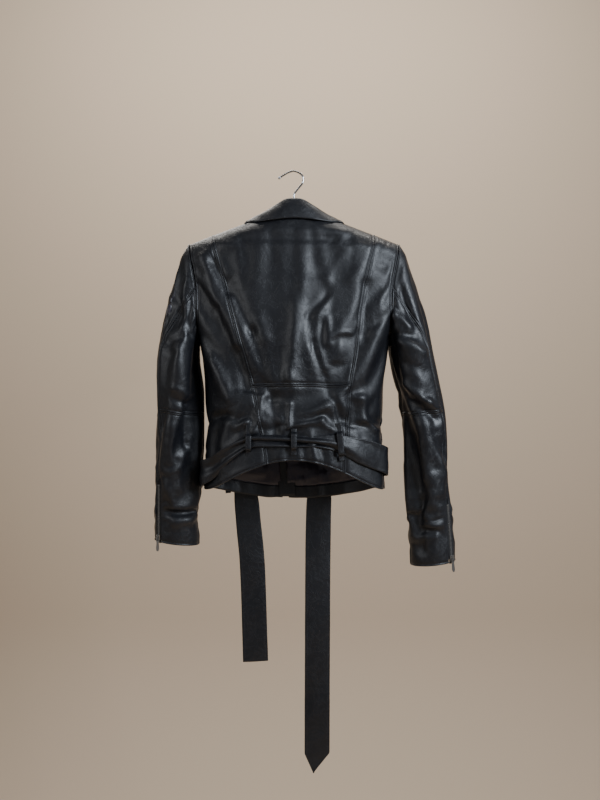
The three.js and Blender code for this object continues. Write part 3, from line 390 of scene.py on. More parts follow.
def grain_group():
    """Pebbled grain, creases and rubbed patches: puts out a normal and masks of creases and rub."""
    tree = bpy.data.node_groups.new("hide grain", "ShaderNodeTree")
    for name, kind, value in (
        ("Pebbles", "NodeSocketFloat", 1500.0), ("Pebble Depth", "NodeSocketFloat", 0.12),
        ("Crease Depth", "NodeSocketFloat", 0.5), ("Ripple Depth", "NodeSocketFloat", 0.4),
    ):
        socket = tree.interface.new_socket(name, in_out="INPUT", socket_type=kind)
        socket.default_value = value
    tree.interface.new_socket("Normal", in_out="OUTPUT", socket_type="NodeSocketVector")
    tree.interface.new_socket("Creases", in_out="OUTPUT", socket_type="NodeSocketFloat")
    tree.interface.new_socket("Rub", in_out="OUTPUT", socket_type="NodeSocketFloat")
    into, out = tree.nodes.new("NodeGroupInput"), tree.nodes.new("NodeGroupOutput")
    where = tree.nodes.new("ShaderNodeTexCoord")
    pebbles = node(tree, "ShaderNodeTexVoronoi", feature="SMOOTH_F1")
    creases = node(tree, "ShaderNodeTexNoise", Scale=46.0, Detail=6.0, Roughness=0.62, Distortion=1.1)
    ripple = node(tree, "ShaderNodeTexNoise", Scale=17.0, Detail=3.0, Roughness=0.5, Distortion=0.8)
    rub = node(tree, "ShaderNodeTexNoise", Scale=9.0, Detail=4.0, Roughness=0.6)
    link = tree.links.new
    for texture in (pebbles, creases, ripple, rub):
        link(where.outputs["Object"], texture.inputs["Vector"])
    link(into.outputs["Pebbles"], pebbles.inputs["Scale"])
    fine = tree.nodes.new("ShaderNodeMapRange")
    fine.inputs["From Min"].default_value, fine.inputs["From Max"].default_value = 0.46, 0.54
    link(creases.outputs["Fac"], fine.inputs["Value"])
    ridge = node(tree, "ShaderNodeMath", operation="PINGPONG")
    ridge.inputs[1].default_value = 0.5
    link(fine.outputs["Result"], ridge.inputs[0])
    bumps = []
    for source, depth, distance in (
        (ripple.outputs["Fac"], "Ripple Depth", 0.006), (ridge.outputs[0], "Crease Depth", 0.0005),
        (pebbles.outputs["Distance"], "Pebble Depth", 0.0003),
    ):
        bump = node(tree, "ShaderNodeBump", Distance=distance)
        link(into.outputs[depth], bump.inputs["Strength"])
        link(source, bump.inputs["Height"])
        if bumps:
            link(bumps[-1].outputs["Normal"], bump.inputs["Normal"])
        bumps.append(bump)
    link(bumps[-1].outputs["Normal"], out.inputs["Normal"])
    link(ridge.outputs[0], out.inputs["Creases"])
    link(rub.outputs["Fac"], out.inputs["Rub"])
    return tree


GRAIN = grain_group()


def hide(name, colour, worn, rough, pebbles=1500.0, pebble=0.12, crease=0.5, ripple=0.4):
    """A leather made with the grain group: colours for fresh and creased hide, and a range of roughness."""
    material, tree, shader, _ = finish(name)
    grain = tree.nodes.new("ShaderNodeGroup")
    grain.node_tree = GRAIN
    depths = {"Pebbles": pebbles, "Pebble Depth": pebble, "Crease Depth": crease, "Ripple Depth": ripple}
    for key, value in depths.items():
        grain.inputs[key].default_value = value
    mix = node(tree, "ShaderNodeMix", data_type="RGBA")
    mix.inputs[6].default_value, mix.inputs[7].default_value = (*colour, 1), (*worn, 1)
    tree.links.new(grain.outputs["Creases"], mix.inputs[0])
    tree.links.new(mix.outputs[2], shader.inputs["Base Color"])
    sheen = tree.nodes.new("ShaderNodeMapRange")
    sheen.inputs["From Min"].default_value, sheen.inputs["From Max"].default_value = 0.3, 0.7
    sheen.inputs["To Min"].default_value, sheen.inputs["To Max"].default_value = rough
    tree.links.new(grain.outputs["Rub"], sheen.inputs["Value"])
    tree.links.new(sheen.outputs["Result"], shader.inputs["Roughness"])
    tree.links.new(grain.outputs["Normal"], shader.inputs["Normal"])
    shader.inputs["Specular IOR Level"].default_value = 0.55
    shader.inputs["Coat Weight"].default_value = 0.1
    shader.inputs["Coat Roughness"].default_value = 0.3
    return material


LEATHER_BLACK = hide(
    "black_leather", (0.0055, 0.0062, 0.009), (0.013, 0.014, 0.018), (0.37, 0.54), pebble=0.2
)
THREAD, thread, thread_shader, thread_where = finish("waxed_thread")
thread_twist = node(thread, "ShaderNodeTexNoise", Scale=2600.0, Detail=2.0)
thread_colour = node(thread, "ShaderNodeMix", data_type="RGBA")
thread_colour.inputs[6].default_value = (0.02, 0.02, 0.023, 1)
thread_colour.inputs[7].default_value = (0.06, 0.06, 0.07, 1)
thread.links.new(thread_where, thread_twist.inputs["Vector"])
thread.links.new(thread_twist.outputs["Fac"], thread_colour.inputs[0])
thread.links.new(thread_colour.outputs[2], thread_shader.inputs["Base Color"])
thread_shader.inputs["Roughness"].default_value = 0.45


# ---- Cutting a panel from the hung leather ----
# A panel's edges are pressed down into the seam, rise over the seam allowance beneath and dip again along a
# row of stitches. Threads are laid along that row, each one a short stitch sunk at both ends.
def resample(a, t):
    """Rows of a at the fractional places t, on a smooth curve through them."""
    t = np.clip(t, 0, len(a) - 1)
    i = np.minimum(np.floor(t).astype(int), len(a) - 2)
    f = (t - i).reshape((-1,) + (1,) * (a.ndim - 1))
    p0, p1, p2, p3 = (a[np.clip(i + k, 0, len(a) - 1)] for k in (-1, 0, 1, 2))
    return p1 + 0.5 * f * (p2 - p0 + f * (2 * p0 - 5 * p1 + 4 * p2 - p3 + f * (3 * (p1 - p2) + p3 - p0)))


SEAM_STEPS = np.array([0.15, 0.9, 2.2, 3.2, 3.8, 4.5, 6.4])
SEAM_RISE = ((0, 0.9, 2.2, 3.2, 3.8, 4.5, 6.4, 9), (-0.5, 0.55, 0.75, 0.1, -0.95, -0.35, 0.25, 0))


def places(length, step, first, last):
    """Distances along an edge: close together beside a seam, step apart elsewhere."""
    a = SEAM_STEPS if first else np.array([0.25])
    b = length - (SEAM_STEPS[::-1] if last else np.array([0.25]))
    inner = np.linspace(a[-1], b[0], max(3, int(round((b[0] - a[-1]) / step)) + 1))[1:-1]
    return np.concatenate([a, inner, b])


def lengths(a):
    return np.concatenate([[0], np.cumsum(np.linalg.norm(np.diff(a, axis=0), axis=1))])


def panel_face(grid, rows, columns, sewn, step=4.2, beside_zip=None):
    """A panel's face between index limits of a grid, with its edges let into their seams.
    sewn says which of its edges (hem, top, first, last) are seams. beside_zip is "first" or "last" for an edge
    that stands back from a zip below the height given with it."""
    low, high, first, last = sewn
    (r0, r1), (c0, c1) = rows, columns
    piece = grid[r0:r1 + 1, c0:c1 + 1]
    middle = piece[:, piece.shape[1] // 2]
    run = lengths(middle)
    down = places(run[-1], step, low, high)
    t = np.interp(down, run, np.arange(len(run)))
    tall = resample(piece, t)
    mid_row = tall[len(tall) // 2]
    count = len(places(lengths(mid_row)[-1], step, first, last))
    face = np.zeros((len(tall), count, 3))
    edge = np.full(face.shape[:2], 99.0)
    for i, row in enumerate(tall):
        run_c = lengths(row)
        n = (len(SEAM_STEPS) if first else 1, len(SEAM_STEPS) if last else 1)
        a = SEAM_STEPS if first else np.array([0.25])
        b = run_c[-1] - (SEAM_STEPS[::-1] if last else np.array([0.25]))
        if b[0] - a[-1] < 3:
            shrink = 0.4 * run_c[-1] / SEAM_STEPS[-1]
            a = a * min(1, shrink)
            b = run_c[-1] - (run_c[-1] - b) * min(1, shrink)
        s = np.concatenate([a, np.linspace(a[-1], b[0], count - n[0] - n[1] + 2)[1:-1], b])
        if beside_zip:
            zip_edge = row[0 if beside_zip[0] == "first" else -1]
            stand = 5.6 * float(np.clip((beside_zip[1] - zip_edge[2]) / 7, 0, 1))
            s = s * (run_c[-1] - stand) / run_c[-1] + (stand if beside_zip[0] == "first" else 0)
        face[i] = resample(row, np.interp(s, run_c, np.arange(len(run_c))))
        if first:
            edge[i] = np.minimum(edge[i], s)
        if last:
            edge[i] = np.minimum(edge[i], run_c[-1] - s)
    if low:
        edge = np.minimum(edge, down[:, None])
    if high:
        edge = np.minimum(edge, (run[-1] - down)[:, None])
    return face, edge


def made_of(name, points, faces, material, merged=False, smooth=True):
    """A new piece from points in metres, its faces turned outwards."""
    mesh = bpy.data.meshes.new(name)
    mesh.from_pydata(points, [], faces)
    piece = bpy.data.objects.new(name, mesh)
    bpy.context.scene.collection.objects.link(piece)
    work = bmesh.new()
    work.from_mesh(mesh)
    if merged:
        bmesh.ops.remove_doubles(work, verts=work.verts, dist=1e-6)
    bmesh.ops.recalc_face_normals(work, faces=work.faces)
    work.to_mesh(mesh)
    work.free()
    mesh.materials.append(material)
    for polygon in mesh.polygons:
        polygon.use_smooth = smooth
    return piece


def fasten(piece, body="jacket", stands_for=None):
    """Hides the node of the frame a piece stands for and fixes the piece to a body."""
    if stands_for:
        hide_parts(stands_for)
    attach(piece, body)


def shell_mesh(name, face, normals, thickness, material, wraps=False):
    """A closed sheet between a face and the same face moved inwards by thickness."""
    rows, columns = face.shape[:2]
    inner = face - normals * thickness
    points = np.concatenate([face.reshape(-1, 3), inner.reshape(-1, 3)]) / 1000
    n = rows * columns
    index = np.arange(n).reshape(rows, columns)
    if wraps:
        index = np.concatenate([index, index[:, :1]], 1)
    a, b, c, d = index[:-1, :-1], index[:-1, 1:], index[1:, 1:], index[1:, :-1]
    quads = np.stack([a, b, c, d], -1).reshape(-1, 4)
    faces = [quads, quads[:, ::-1] + n]
    rims = [index[0], index[-1][::-1]]
    if not wraps:
        rims += [index[:, 0][::-1], index[:, -1]]
    for rim in rims:
        faces.append(np.stack([rim[1:], rim[:-1], rim[:-1] + n, rim[1:] + n], -1))
    return made_of(name, points.tolist(), np.concatenate(faces).tolist(), material, merged=True)


def stitch_rows(name, rows, pitch=4.0, radius=0.36):
    """Threads along rows of (points, normals): each stitch is a small spindle that dips at both ends."""
    points, faces = [], []
    ring = [(math.cos(a), math.sin(a)) for a in np.radians((0, 72, 144, 216, 288))]
    for path, normals in rows:
        run = lengths(path)
        count = int(run[-1] / pitch)
        if count < 1:
            continue
        at = (np.arange(count) + 0.5) * run[-1] / count
        for s in at:
            on_path = [np.array([np.interp(s + e, run, np.arange(len(run)))]) for e in (-1.45, 0, 1.45)]
            ends = [resample(path, t)[0] for t in on_path]
            up = resample(normals, on_path[1])[0]
            up /= np.linalg.norm(up) + 1e-9
            way = ends[2] - ends[0]
            way /= np.linalg.norm(way) + 1e-9
            side = np.cross(way, up)
            base = len(points)
            for centre, r, lift in ((ends[0], 0.14, -0.35), (ends[1], radius, 0.02), (ends[2], 0.14, -0.35)):
                for u, v in ring:
                    points.append((centre + up * (lift + r * v) + side * r * u) / 1000)
            for k in range(2):
                for j in range(5):
                    m = (j + 1) % 5
                    turn = base + k * 5
                    faces.append([turn + j, turn + m, turn + 5 + m, turn + 5 + j])
            faces.append([base + j for j in range(4, -1, -1)])
            faces.append([base + 10 + j for j in range(5)])
    return made_of(name, [list(p) for p in points], faces, THREAD)


def flat_size(face):
    """(width, length, area) of a sheet's face laid flat, in metres."""
    a = face[1:, 1:] - face[:-1, :-1]
    b = face[1:, :-1] - face[:-1, 1:]
    area = float(np.sum(np.linalg.norm(np.cross(a, b), axis=2)) / 2e6)
    wide = max(lengths(row)[-1] for row in face) / 1000
    tall = max(lengths(face[:, i])[-1] for i in (0, face.shape[1] // 2, face.shape[1] - 1)) / 1000
    return wide, tall, area


def declare_sheet(face):
    wide, tall, area = flat_size(face)
    area = min(max(area, 0.31 * wide * tall), wide * tall)


def sew_panel(name, grid, inside, rows, columns, sewn, stitched=None, beside_zip=None, sleeve=None):
    """Cuts a panel, lets its edges into the seams, gives it its thickness and stitches its sewn edges."""
    face, edge = panel_face(grid, rows, columns, sewn, beside_zip=beside_zip)
    normals = normals_of(face, inside(face))
    face = face + normals * np.interp(edge, *SEAM_RISE)[..., None]
    piece = shell_mesh(name + "_leather", face, normals, LEATHER, LEATHER_BLACK)
    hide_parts(name)
    at = list(SEAM_STEPS).index(3.8)
    edges = [(a[at], n[at]) for a, n in ((face, normals), (face[::-1], normals[::-1]))]
    edges += [(a[:, at], n[:, at]) for a, n in ((face, normals), (face[:, ::-1], normals[:, ::-1]))]
    runs = [run for run, wanted in zip(edges, stitched or sewn) if wanted]
    threads = stitch_rows(name + "_stitches", [(p[2:-2], n[2:-2]) for p, n in runs])
    for part in (piece, threads):
        if sleeve:
            across_the_shoulder(part, *sleeve)
        else:
            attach(part, "jacket")
    declare_sheet(face)


def row_of(value):
    return int(np.argmin(abs(ROWS - value)))


def back_column(value):
    return int(np.argmin(abs(BACK_COLUMNS - value)))


def front_column(value):
    return int(np.argmin(abs(FRONT_COLUMNS - value)))


# ---- Back of the body ----
# Four leather panels: a centre panel above the waist seam, a waist panel below it and a side panel on either
# side of the two long seams that run from the shoulders to the hem. All are sewn open and stitched both sides.
TOP, WAIST_ROW = len(ROWS) - 1, row_of(4)
for name, rows, columns, sewn, stitched in (
    ("centre_panel", (WAIST_ROW, TOP), (4, 13), (1, 0, 1, 1), None),
    ("waist_panel", (0, WAIST_ROW), (4, 13), (1, 1, 1, 1), None),
    ("side_panel_left", (0, TOP), (0, 4), (1, 0, 1, 1), (1, 0, 0, 1)),
    ("side_panel_right", (0, TOP), (13, 17), (1, 0, 1, 1), (1, 0, 1, 0)),
):
    columns = (back_column(columns[0]), back_column(columns[1]))
    sew_panel("back_" + name, back_hung, spine, rows, columns, sewn, stitched)

# ---- Front of the body ----
# Side front and front panels, the right front lapping over towards the left where the slanting zip closes.
# The fronts' free edges beside the zip are turned in and stitched down.
for name, columns, stitched in (
    ("side_panel_left", (0, 3), (1, 0, 0, 1)),
    ("panel_left", (3, 8), None),
    ("panel_right", (9, 17), None),
    ("side_panel_right", (17, 20), (1, 0, 1, 0)),
):
    columns = (front_column(columns[0]), front_column(columns[1]))
    sew_panel("front_" + name, front_hung, spine, (0, TOP), columns, (1, 0, 1, 1), stitched)

# ---- Sleeves ----
# Each sleeve is a tube of three long panels, sewn into the armhole, with a fourth from the elbow seam to the
# cuff beside the zip. They hang a little forward and crumple at the armhole, the elbow and the cuff.
def armhole_loop(side):
    """The cut edges of back and front round the armhole: 64 points from the shoulder tip round by the back."""
    column = 0 if side > 0 else -1
    loop = []
    for k in range(64):
        c = 16 * k / 64
        grid, row = (back_cut, 15 - c) if c <= 8 else (front_cut, c - 1)
        at = np.interp(row, ROWS, np.arange(len(ROWS)))
        loop.append(resample(grid[:, column], np.array([at]))[0])
    loop = np.array(loop)
    loop[:, 0] -= side * 0.8
    return loop


def sleeve_cut(side, elbow_x, cuff_x, cuff_y, cuff_z):
    turn = np.interp(np.arange(64) / 4, (0, 4, 8, 12, 16), np.radians((0, 45, 180, 290, 360)))
    run = np.concatenate([np.linspace(0, 1, 23)[:-1], np.linspace(1, 2, 47)])

    def ease(a, b, c):
        return sum(np.interp(run + d, (0, 1, 2), (a, b, c)) for d in (-0.16, -0.08, 0, 0.08, 0.16)) / 5

    cx, cy = ease(219, elbow_x, cuff_x), ease(-2, -12, cuff_y)
    cz = np.interp(run, (0, 1, 2), (-343, -456, cuff_z))
    a, b, tilt = ease(39, 39, 43), ease(56, 52, 38), ease(12, 4, 5)
    x = cx[:, None] + a[:, None] * np.cos(turn)
    y = cy[:, None] + b[:, None] * np.sin(turn)
    z = cz[:, None] + tilt[:, None] * np.cos(turn)
    tube = np.stack([side * x, y, z], 2)
    loop = armhole_loop(side)
    share = np.linspace(0, 1, 27)[:-1, None, None]
    head = loop[None] * (1 - share) + tube[:1] * share
    if side > 0:
        inner = np.exp(-(((turn - np.pi) / 0.7) ** 2)) * np.clip((run[:, None] - 0.1) * 2, 0, 1)
        inner = inner * np.clip((1.75 - run[:, None]) * 2, 0, 1)
        tube[..., 0] -= 8 * inner
    fuller = np.sin(np.pi * share[..., 0]) * np.maximum(0, np.cos(turn)) ** 1.5
    head[..., 0] += side * 7 * fuller
    head[..., 2] += 3 * fuller
    return np.concatenate([head, tube])


def sleeve_core(side, elbow_x, cuff_x, cuff_y, cuff_z):
    """The line inside a sleeve that its faces look away from."""
    def core(grid):
        middle = grid.copy()
        z = grid[..., 2]
        middle[..., 0] = side * np.interp(z, (cuff_z, -456, -343, -139), (cuff_x, elbow_x, 225, 160))
        middle[..., 1] = np.interp(z, (cuff_z, -456, -343), (cuff_y, -12, 0))
        return middle
    return core


SLEEVES = {
    "left": (1, 224, 228, -36, -708),
    "right": (-1, 246, 268, -24, -745),
}
SLEEVE_FOLDS = {
    "left": [
        (197, -250, 201, -296, 6, 3.8), (214, -250, 188, -312, 8, -5.4), (232, -240, 214, -262, 8, 2.6),
        (192, -205, 224, -252, 8, 2.4), (206, -318, 236, -326, 8, -3.4), (212, -340, 210, -400, 14, 4.6),
        (246, -330, 250, -420, 10, 2.2), (222, -412, 192, -426, 7, 4.0), (200, -440, 198, -520, 7, -5.2),
        (222, -432, 200, -438, 5, -3.6), (228, -480, 227, -560, 11, 4.0), (210, -540, 214, -600, 9, 2.6),
        (238, -646, 196, -648, 8, -4.4), (222, -666, 206, -662, 11, 3.6), (188, -560, 190, -640, 7, -2.6),
        (262, -560, 258, -680, 7, 2.4), (240, -590, 226, -630, 8, 2.2), (186, -330, 184, -380, 8, -3.2),
    ],
    "right": [
        (-178, -270, -212, -298, 8, 4.0), (-184, -312, -226, -316, 7, -4.4), (-200, -324, -236, -343, 9, 4.0),
        (-206, -364, -240, -380, 9, -3.2), (-196, -230, -216, -262, 9, -3.2), (-222, -240, -244, -300, 10, 3.0),
        (-208, -404, -246, -438, 8, 4.8), (-246, -438, -272, -452, 7, 3.6), (-206, -424, -262, -466, 9, -6.2),
        (-274, -466, -280, -574, 8, 3.6), (-262, -480, -260, -560, 8, -2.8), (-240, -480, -250, -580, 12, 3.4),
        (-226, -500, -230, -600, 9, -3.4), (-280, -664, -246, -668, 5, 2.6), (-276, -676, -240, -682, 5, -2.6),
        (-262, -610, -250, -650, 10, 2.8), (-236, -620, -240, -720, 8, -2.8), (-268, -690, -262, -735, 9, 2.4),
        (-300, -640, -298, -710, 8, 2.2), (-214, -560, -226, -640, 8, 2.4),
    ],
}


def sleeve_folds_in_front(name):
    side = SLEEVES[name][0]
    return [
        (side * 186, -240, side * 214, -300, 9, 3.2), (side * 240, -230, side * 214, -320, 9, -3.4),
        (side * 196, -330, side * 244, -350, 9, 2.6), (side * 200, -420, side * 262, -440, 8, -4.6),
        (side * 204, -446, side * 262, -462, 8, 4.0), (side * 210, -470, side * 256, -478, 8, -3.4),
        (side * 230, -500, side * 240, -620, 11, 3.0), (side * 206, -520, side * 220, -640, 9, -2.6),
        (side * 210, -660, side * 262, -668, 8, 2.6),
    ]


def across_the_shoulder(piece, side, name):
    """Bakes the piece's placement into its points; it is fixed to no body."""
    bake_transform(piece)


sleeve_hung = {}
for name, spec in SLEEVES.items():
    side = spec[0]
    cut = sleeve_cut(*spec)
    core = sleeve_core(*spec)
    normals = normals_of(cut, core(cut), True)
    lift = 1.45 * fold(cut, normals, SLEEVE_FOLDS[name])
    lift = lift + 1.2 * fold(cut, normals, sleeve_folds_in_front(name), -1)
    row = np.arange(len(cut))[:, None]
    lift = lift * np.clip(row / 5, 0, 1) * np.clip((len(cut) - 1 - row) / 6, 0.15, 1)
    lift = lift + 2.6 * np.exp(-(((row - 3.5) / 2.6) ** 2))
    by_zip = np.exp(-(((np.arange(64)[None, :] - 16) / 2.4) ** 2))
    by_zip = by_zip * np.clip((spec[4] + 140 - cut[..., 2]) / 14, 0, 1)
    hung = cut + normals * (lift * (1 - 0.92 * by_zip))[..., None]
    ring = np.arange(len(cut))[:, None] * np.ones((1, 64))
    hold = np.where(ring < 3, 1.0, 0.035)
    hold = np.maximum(hold, 0.8 * (ring > len(cut) - 5))
    hold[:, 16] = np.maximum(hold[:, 16], 0.15)
    moved = drape("sleeve_cloth_" + name, [hung], [hold], True, 0.06, 6.0, 9.0)
    hung = hung + moved[0] * (np.clip((len(cut) - 2 - row) / 14, 0, 1) * (1 - 0.92 * by_zip))[..., None]
    sleeve_hung[name] = hung
    cuff, elbow = len(cut) - 1, 26 + 22
    for part, (a, b), rows, stitched, zip_edge in (
        ("outer_panel", (-16, 16), (0, cuff), (0, 1, 0, 1), "last"),
        ("back_panel", (16, 32), (0, elbow), (0, 1, 1, 0), None),
        ("forearm_panel", (16, 32), (elbow, cuff), (1, 1, 1, 0), "first"),
        ("front_panel", (32, 48), (0, cuff), (0, 1, 0, 0), None),
    ):
        sew_panel(
            f"sleeve_{part}_{name}", hung[:, np.arange(a, b + 1) % 64], core, rows, (0, b - a),
            (1, 1, 1, 1), stitched,
            beside_zip=(zip_edge, spec[4] + 124) if zip_edge else None, sleeve=(side, name),
        )

# ---- Lining ----
# A thin satin lining hangs loose inside the body and the sleeves. It is sewn to the turned-up hem and creases
# freely, with a soft sheen along its crests.
SATIN, satin, satin_shader, satin_where = finish("lining_satin")
satin_weave = node(satin, "ShaderNodeTexNoise", Scale=2200.0, Detail=1.0)
satin_drift = node(satin, "ShaderNodeTexNoise", Scale=14.0, Detail=3.0)
satin_colour = node(satin, "ShaderNodeMix", data_type="RGBA")
satin_colour.inputs[6].default_value = (0.012, 0.009, 0.018, 1)
satin_colour.inputs[7].default_value = (0.03, 0.024, 0.042, 1)
satin_bump = node(satin, "ShaderNodeBump", Strength=0.15, Distance=0.0002)
for texture in (satin_weave, satin_drift):
    satin.links.new(satin_where, texture.inputs["Vector"])
satin.links.new(satin_drift.outputs["Fac"], satin_colour.inputs[0])
satin.links.new(satin_colour.outputs[2], satin_shader.inputs["Base Color"])
satin.links.new(satin_weave.outputs["Fac"], satin_bump.inputs["Height"])
satin.links.new(satin_bump.outputs["Normal"], satin_shader.inputs["Normal"])
satin_shader.inputs["Roughness"].default_value = 0.38
satin_shader.inputs["Sheen Weight"].default_value = 0.25
satin_shader.inputs["Anisotropic"].default_value = 0.5
satin_shader.inputs["Specular IOR Level"].default_value = 0.6


def satin_creases(grid, seed, height):
    """Loose creases, always on the inner side of the leather: a few waves across one another."""
    chance = np.random.default_rng(seed)
    total = np.zeros(grid.shape[:2])
    for _ in range(9):
        way = chance.normal(size=3) * (1.0, 0.3, 0.55)
        way /= np.linalg.norm(way)
        wave = grid @ way * 2 * np.pi / chance.uniform(22, 60) + chance.uniform(0, 6)
        bend = np.sin(grid @ chance.normal(size=3) * 0.03 + chance.uniform(0, 6))
        total += np.abs(np.sin(wave + 1.3 * bend)) ** 0.8 / 9
    return height * total


def lining(node_name, grid, inside, seed, depth=3.0, height=7.0, sleeve=None):
    """A lining inside a grid of leather. A sleeve's lining is a tube that wraps round."""
    wraps = sleeve is not None
    face = grid
    if not wraps:
        face, _ = panel_face(grid, (0, len(grid) - 1), (0, grid.shape[1] - 1), (0, 0, 0, 0), 5.0)
    normals = normals_of(face, inside(face), wraps)
    ends = np.minimum(1, np.arange(len(face)) / 4)[:, None]
    face = face - normals * (depth + ends * satin_creases(face, seed, height))[..., None]
    piece = shell_mesh(node_name + "_satin", face, normals_of(face, inside(face), wraps), 0.5, SATIN, wraps)
    if sleeve:
        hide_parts(node_name)
        across_the_shoulder(piece, *sleeve)
        face = np.concatenate([face, face[:, :1]], 1)
    else:
        fasten(piece, stands_for=node_name)
    declare_sheet(face)


BAND = row_of(1)
lining("lining_back", back_hung[BAND:TOP - 4], spine, 3)
lining("lining_front_left", front_hung[BAND:TOP - 4, :front_column(8) + 1], spine, 5)
lining("lining_front_right", front_hung[BAND:TOP - 4, front_column(9):], spine, 8)
for name, spec in SLEEVES.items():
    lining("sleeve_lining_" + name, sleeve_hung[name][6:-1], sleeve_core(*spec), 11, 3.4, 3.0, (spec[0], name))

# ---- Turned-up hem ----
# The leather is turned up inside the hem in a band 24 mm deep and stitched through near its edge.
for node_name, grid, columns in (
    ("hem_facing_back", back_hung, (0, len(BACK_COLUMNS) - 1)),
    ("hem_facing_front_left", front_hung, (0, front_column(8))),
    ("hem_facing_front_right", front_hung, (front_column(9), len(FRONT_COLUMNS) - 1)),
):
    face, _ = panel_face(grid, (0, BAND), columns, (0, 0, 0, 0), 4.0)
    normals = normals_of(face, spine(face))
    face = face - normals * 2.0
    piece = shell_mesh(node_name + "_leather", face, normals, LEATHER, LEATHER_BLACK)
    fasten(piece, stands_for=node_name)
    declare_sheet(face)
    inner = face - normals * LEATHER
    threads = stitch_rows(node_name + "_stitches", [(inner[-2][2:-2], -normals[-2][2:-2])])
    fasten(threads)

# ---- Front fly ----
# A leather fly lies behind the front zip. It is a plain folded strip, sewn in with the zip on one side.
fly_z = np.linspace(-624, BREAK - 10, 40)
fly_face = np.zeros((40, 12, 3))
for i, z in enumerate(fly_z):
    x = np.linspace(-2, zip_x(z) + 12, 12)
    fly_y = -body_y(x, z, front_depth(z)) + 4.8 + 0.8 * np.sin(z / 17 + x / 20)
    fly_face[i] = np.stack([x, fly_y, np.full(12, z)], 1)
fly_normals = normals_of(fly_face, spine(fly_face))
fly = shell_mesh("front_zip_fly_leather", fly_face, fly_normals, LEATHER, LEATHER_BLACK)
fasten(fly, stands_for="front_zip_fly")
declare_sheet(fly_face)
fly_inner = fly_face - fly_normals * LEATHER
fly_threads = stitch_rows("front_zip_fly_stitches", [(fly_inner[:, k], -fly_normals[:, k]) for k in (1, 3)])
fasten(fly_threads)

# ---- Collar and lapels ----
# The collar is two layers that fold over at the neck, stitched round its edge. The lapels fold back from the
# roll line and lie on the fronts, each held by a press stud at its tip.
def smooth_line(points, count):
    points = np.array(points, float)
    return resample(points, np.linspace(0, len(points) - 1, count))


def both_sides(half):
    return [(-x, y, z) for x, y, z in half[:0:-1]] + list(half)


def back_y(x, z):
    return float(body_y(x, z, back_depth(z)))


def front_y(x, z):
    return -float(body_y(x, z, front_depth(z)))


FOLD_LINE = both_sides([
    (0, 37, -58.5), (16, 36, -60), (34, 31, -69), (54, 20, -79), (72, 2, -87), (71, -22, -93), (65, -46, -110),
])
COLLAR_EDGE = both_sides([
    (0, 50, -98), (22, 49.5, -99), (44, 47, -101), (70, 34, -102), (92, 5, -101),
    (98, -42, -121), (88, -48.5, -167),
])
NECK_SEAM = both_sides([
    (0, 41.3, -95), (16, 41, -95), (32, 40.4, -95), (50, 36, -94), (64, 2, -90), (63, -20, -98), (60, -39, -119),
])


def clear_of_body(face, lift):
    for p in face.reshape(-1, 3):
        if p[2] < shoulder_line(p[0]):
            if p[1] >= 0:
                p[1] = max(p[1], back_y(p[0], p[2]) + lift)
            else:
                p[1] = min(p[1], front_y(p[0], p[2]) - lift)
    return face


def collar_layer(node_name, low, high, rows, bulge, lift, edge_stitch):
    a, b = smooth_line(low, 90), smooth_line(high, 90)
    share = np.linspace(0, 1, rows)[:, None, None]
    face = a[None] * (1 - share) + b[None] * share
    if lift:
        face = clear_of_body(face, lift)
    inside = np.zeros_like(face)
    inside[..., 2] = -120
    inside[..., 1] = -5
    normals = normals_of(face, inside)
    x, y, z = face[..., 0], face[..., 1], face[..., 2]
    ripple = 0.8 * np.sin(x / 13 + z / 9) + 0.6 * np.sin(x / 31 - y / 17 + 1)
    face = face + normals * (bulge * np.sin(np.pi * share[..., 0]) * (1 + 0.25 * ripple))[..., None]
    normals = normals_of(face, inside)
    piece = shell_mesh(node_name + "_leather", face, normals, LEATHER, LEATHER_BLACK)
    fasten(piece, stands_for=node_name)
    declare_sheet(face)
    if edge_stitch:
        threads = stitch_rows(node_name + "_stitches", [(face[2], normals[2])])
        fasten(threads)


collar_layer("collar_fall", COLLAR_EDGE, FOLD_LINE, 16, 2.6, 5.2, True)
under_fold = [(x * 0.955, y * 0.955, z - 2.6) for x, y, z in FOLD_LINE]
collar_layer("collar_stand", NECK_SEAM, under_fold, 12, 0.0, 0, False)

for name, side in (("left", 1), ("right", -1)):
    tip = np.array([side * 114, -187.0])
    rows = 34
    face = np.zeros((rows, 12, 3))
    control = np.array([side * NECK_HALF + (14 if side > 0 else -2), tip[1] + 0.55 * (BREAK - tip[1])])
    roll_x = lambda z: 40 + np.clip((z - BREAK) / (NECK - BREAK), 0, 1) * (side * NECK_HALF - 40) + side * 2
    foot = np.array([roll_x(BREAK) + side * 7, BREAK + 4])
    for r in range(rows):
        s = r / (rows - 1)
        roll_z = -129 + s * (BREAK + 6 + 129)
        free = tip * (1 - s) ** 2 + control * 2 * s * (1 - s) + foot * s**2
        for c in range(12):
            x = roll_x(roll_z) * (1 - c / 11) + free[0] * c / 11
            z = roll_z * (1 - c / 11) + free[1] * c / 11
            roll = 3.2 * math.sin(math.pi * min(1, c / 7)) * (1 - 0.5 * s)
            lift = 3.4 + roll + 1.2 * math.sin(x / 17 + z / 23)
            face[r, c] = (x, front_y(x, z) - lift, z)
    normals = normals_of(face, spine(face))
    node_name = "lapel_" + name
    piece = shell_mesh(node_name + "_leather", face, normals, LEATHER, LEATHER_BLACK)
    fasten(piece, stands_for=node_name)
    declare_sheet(face)
    threads = stitch_rows(node_name + "_stitches", [(face[:, -2], normals[:, -2]), (face[1], normals[1])])
    fasten(threads)

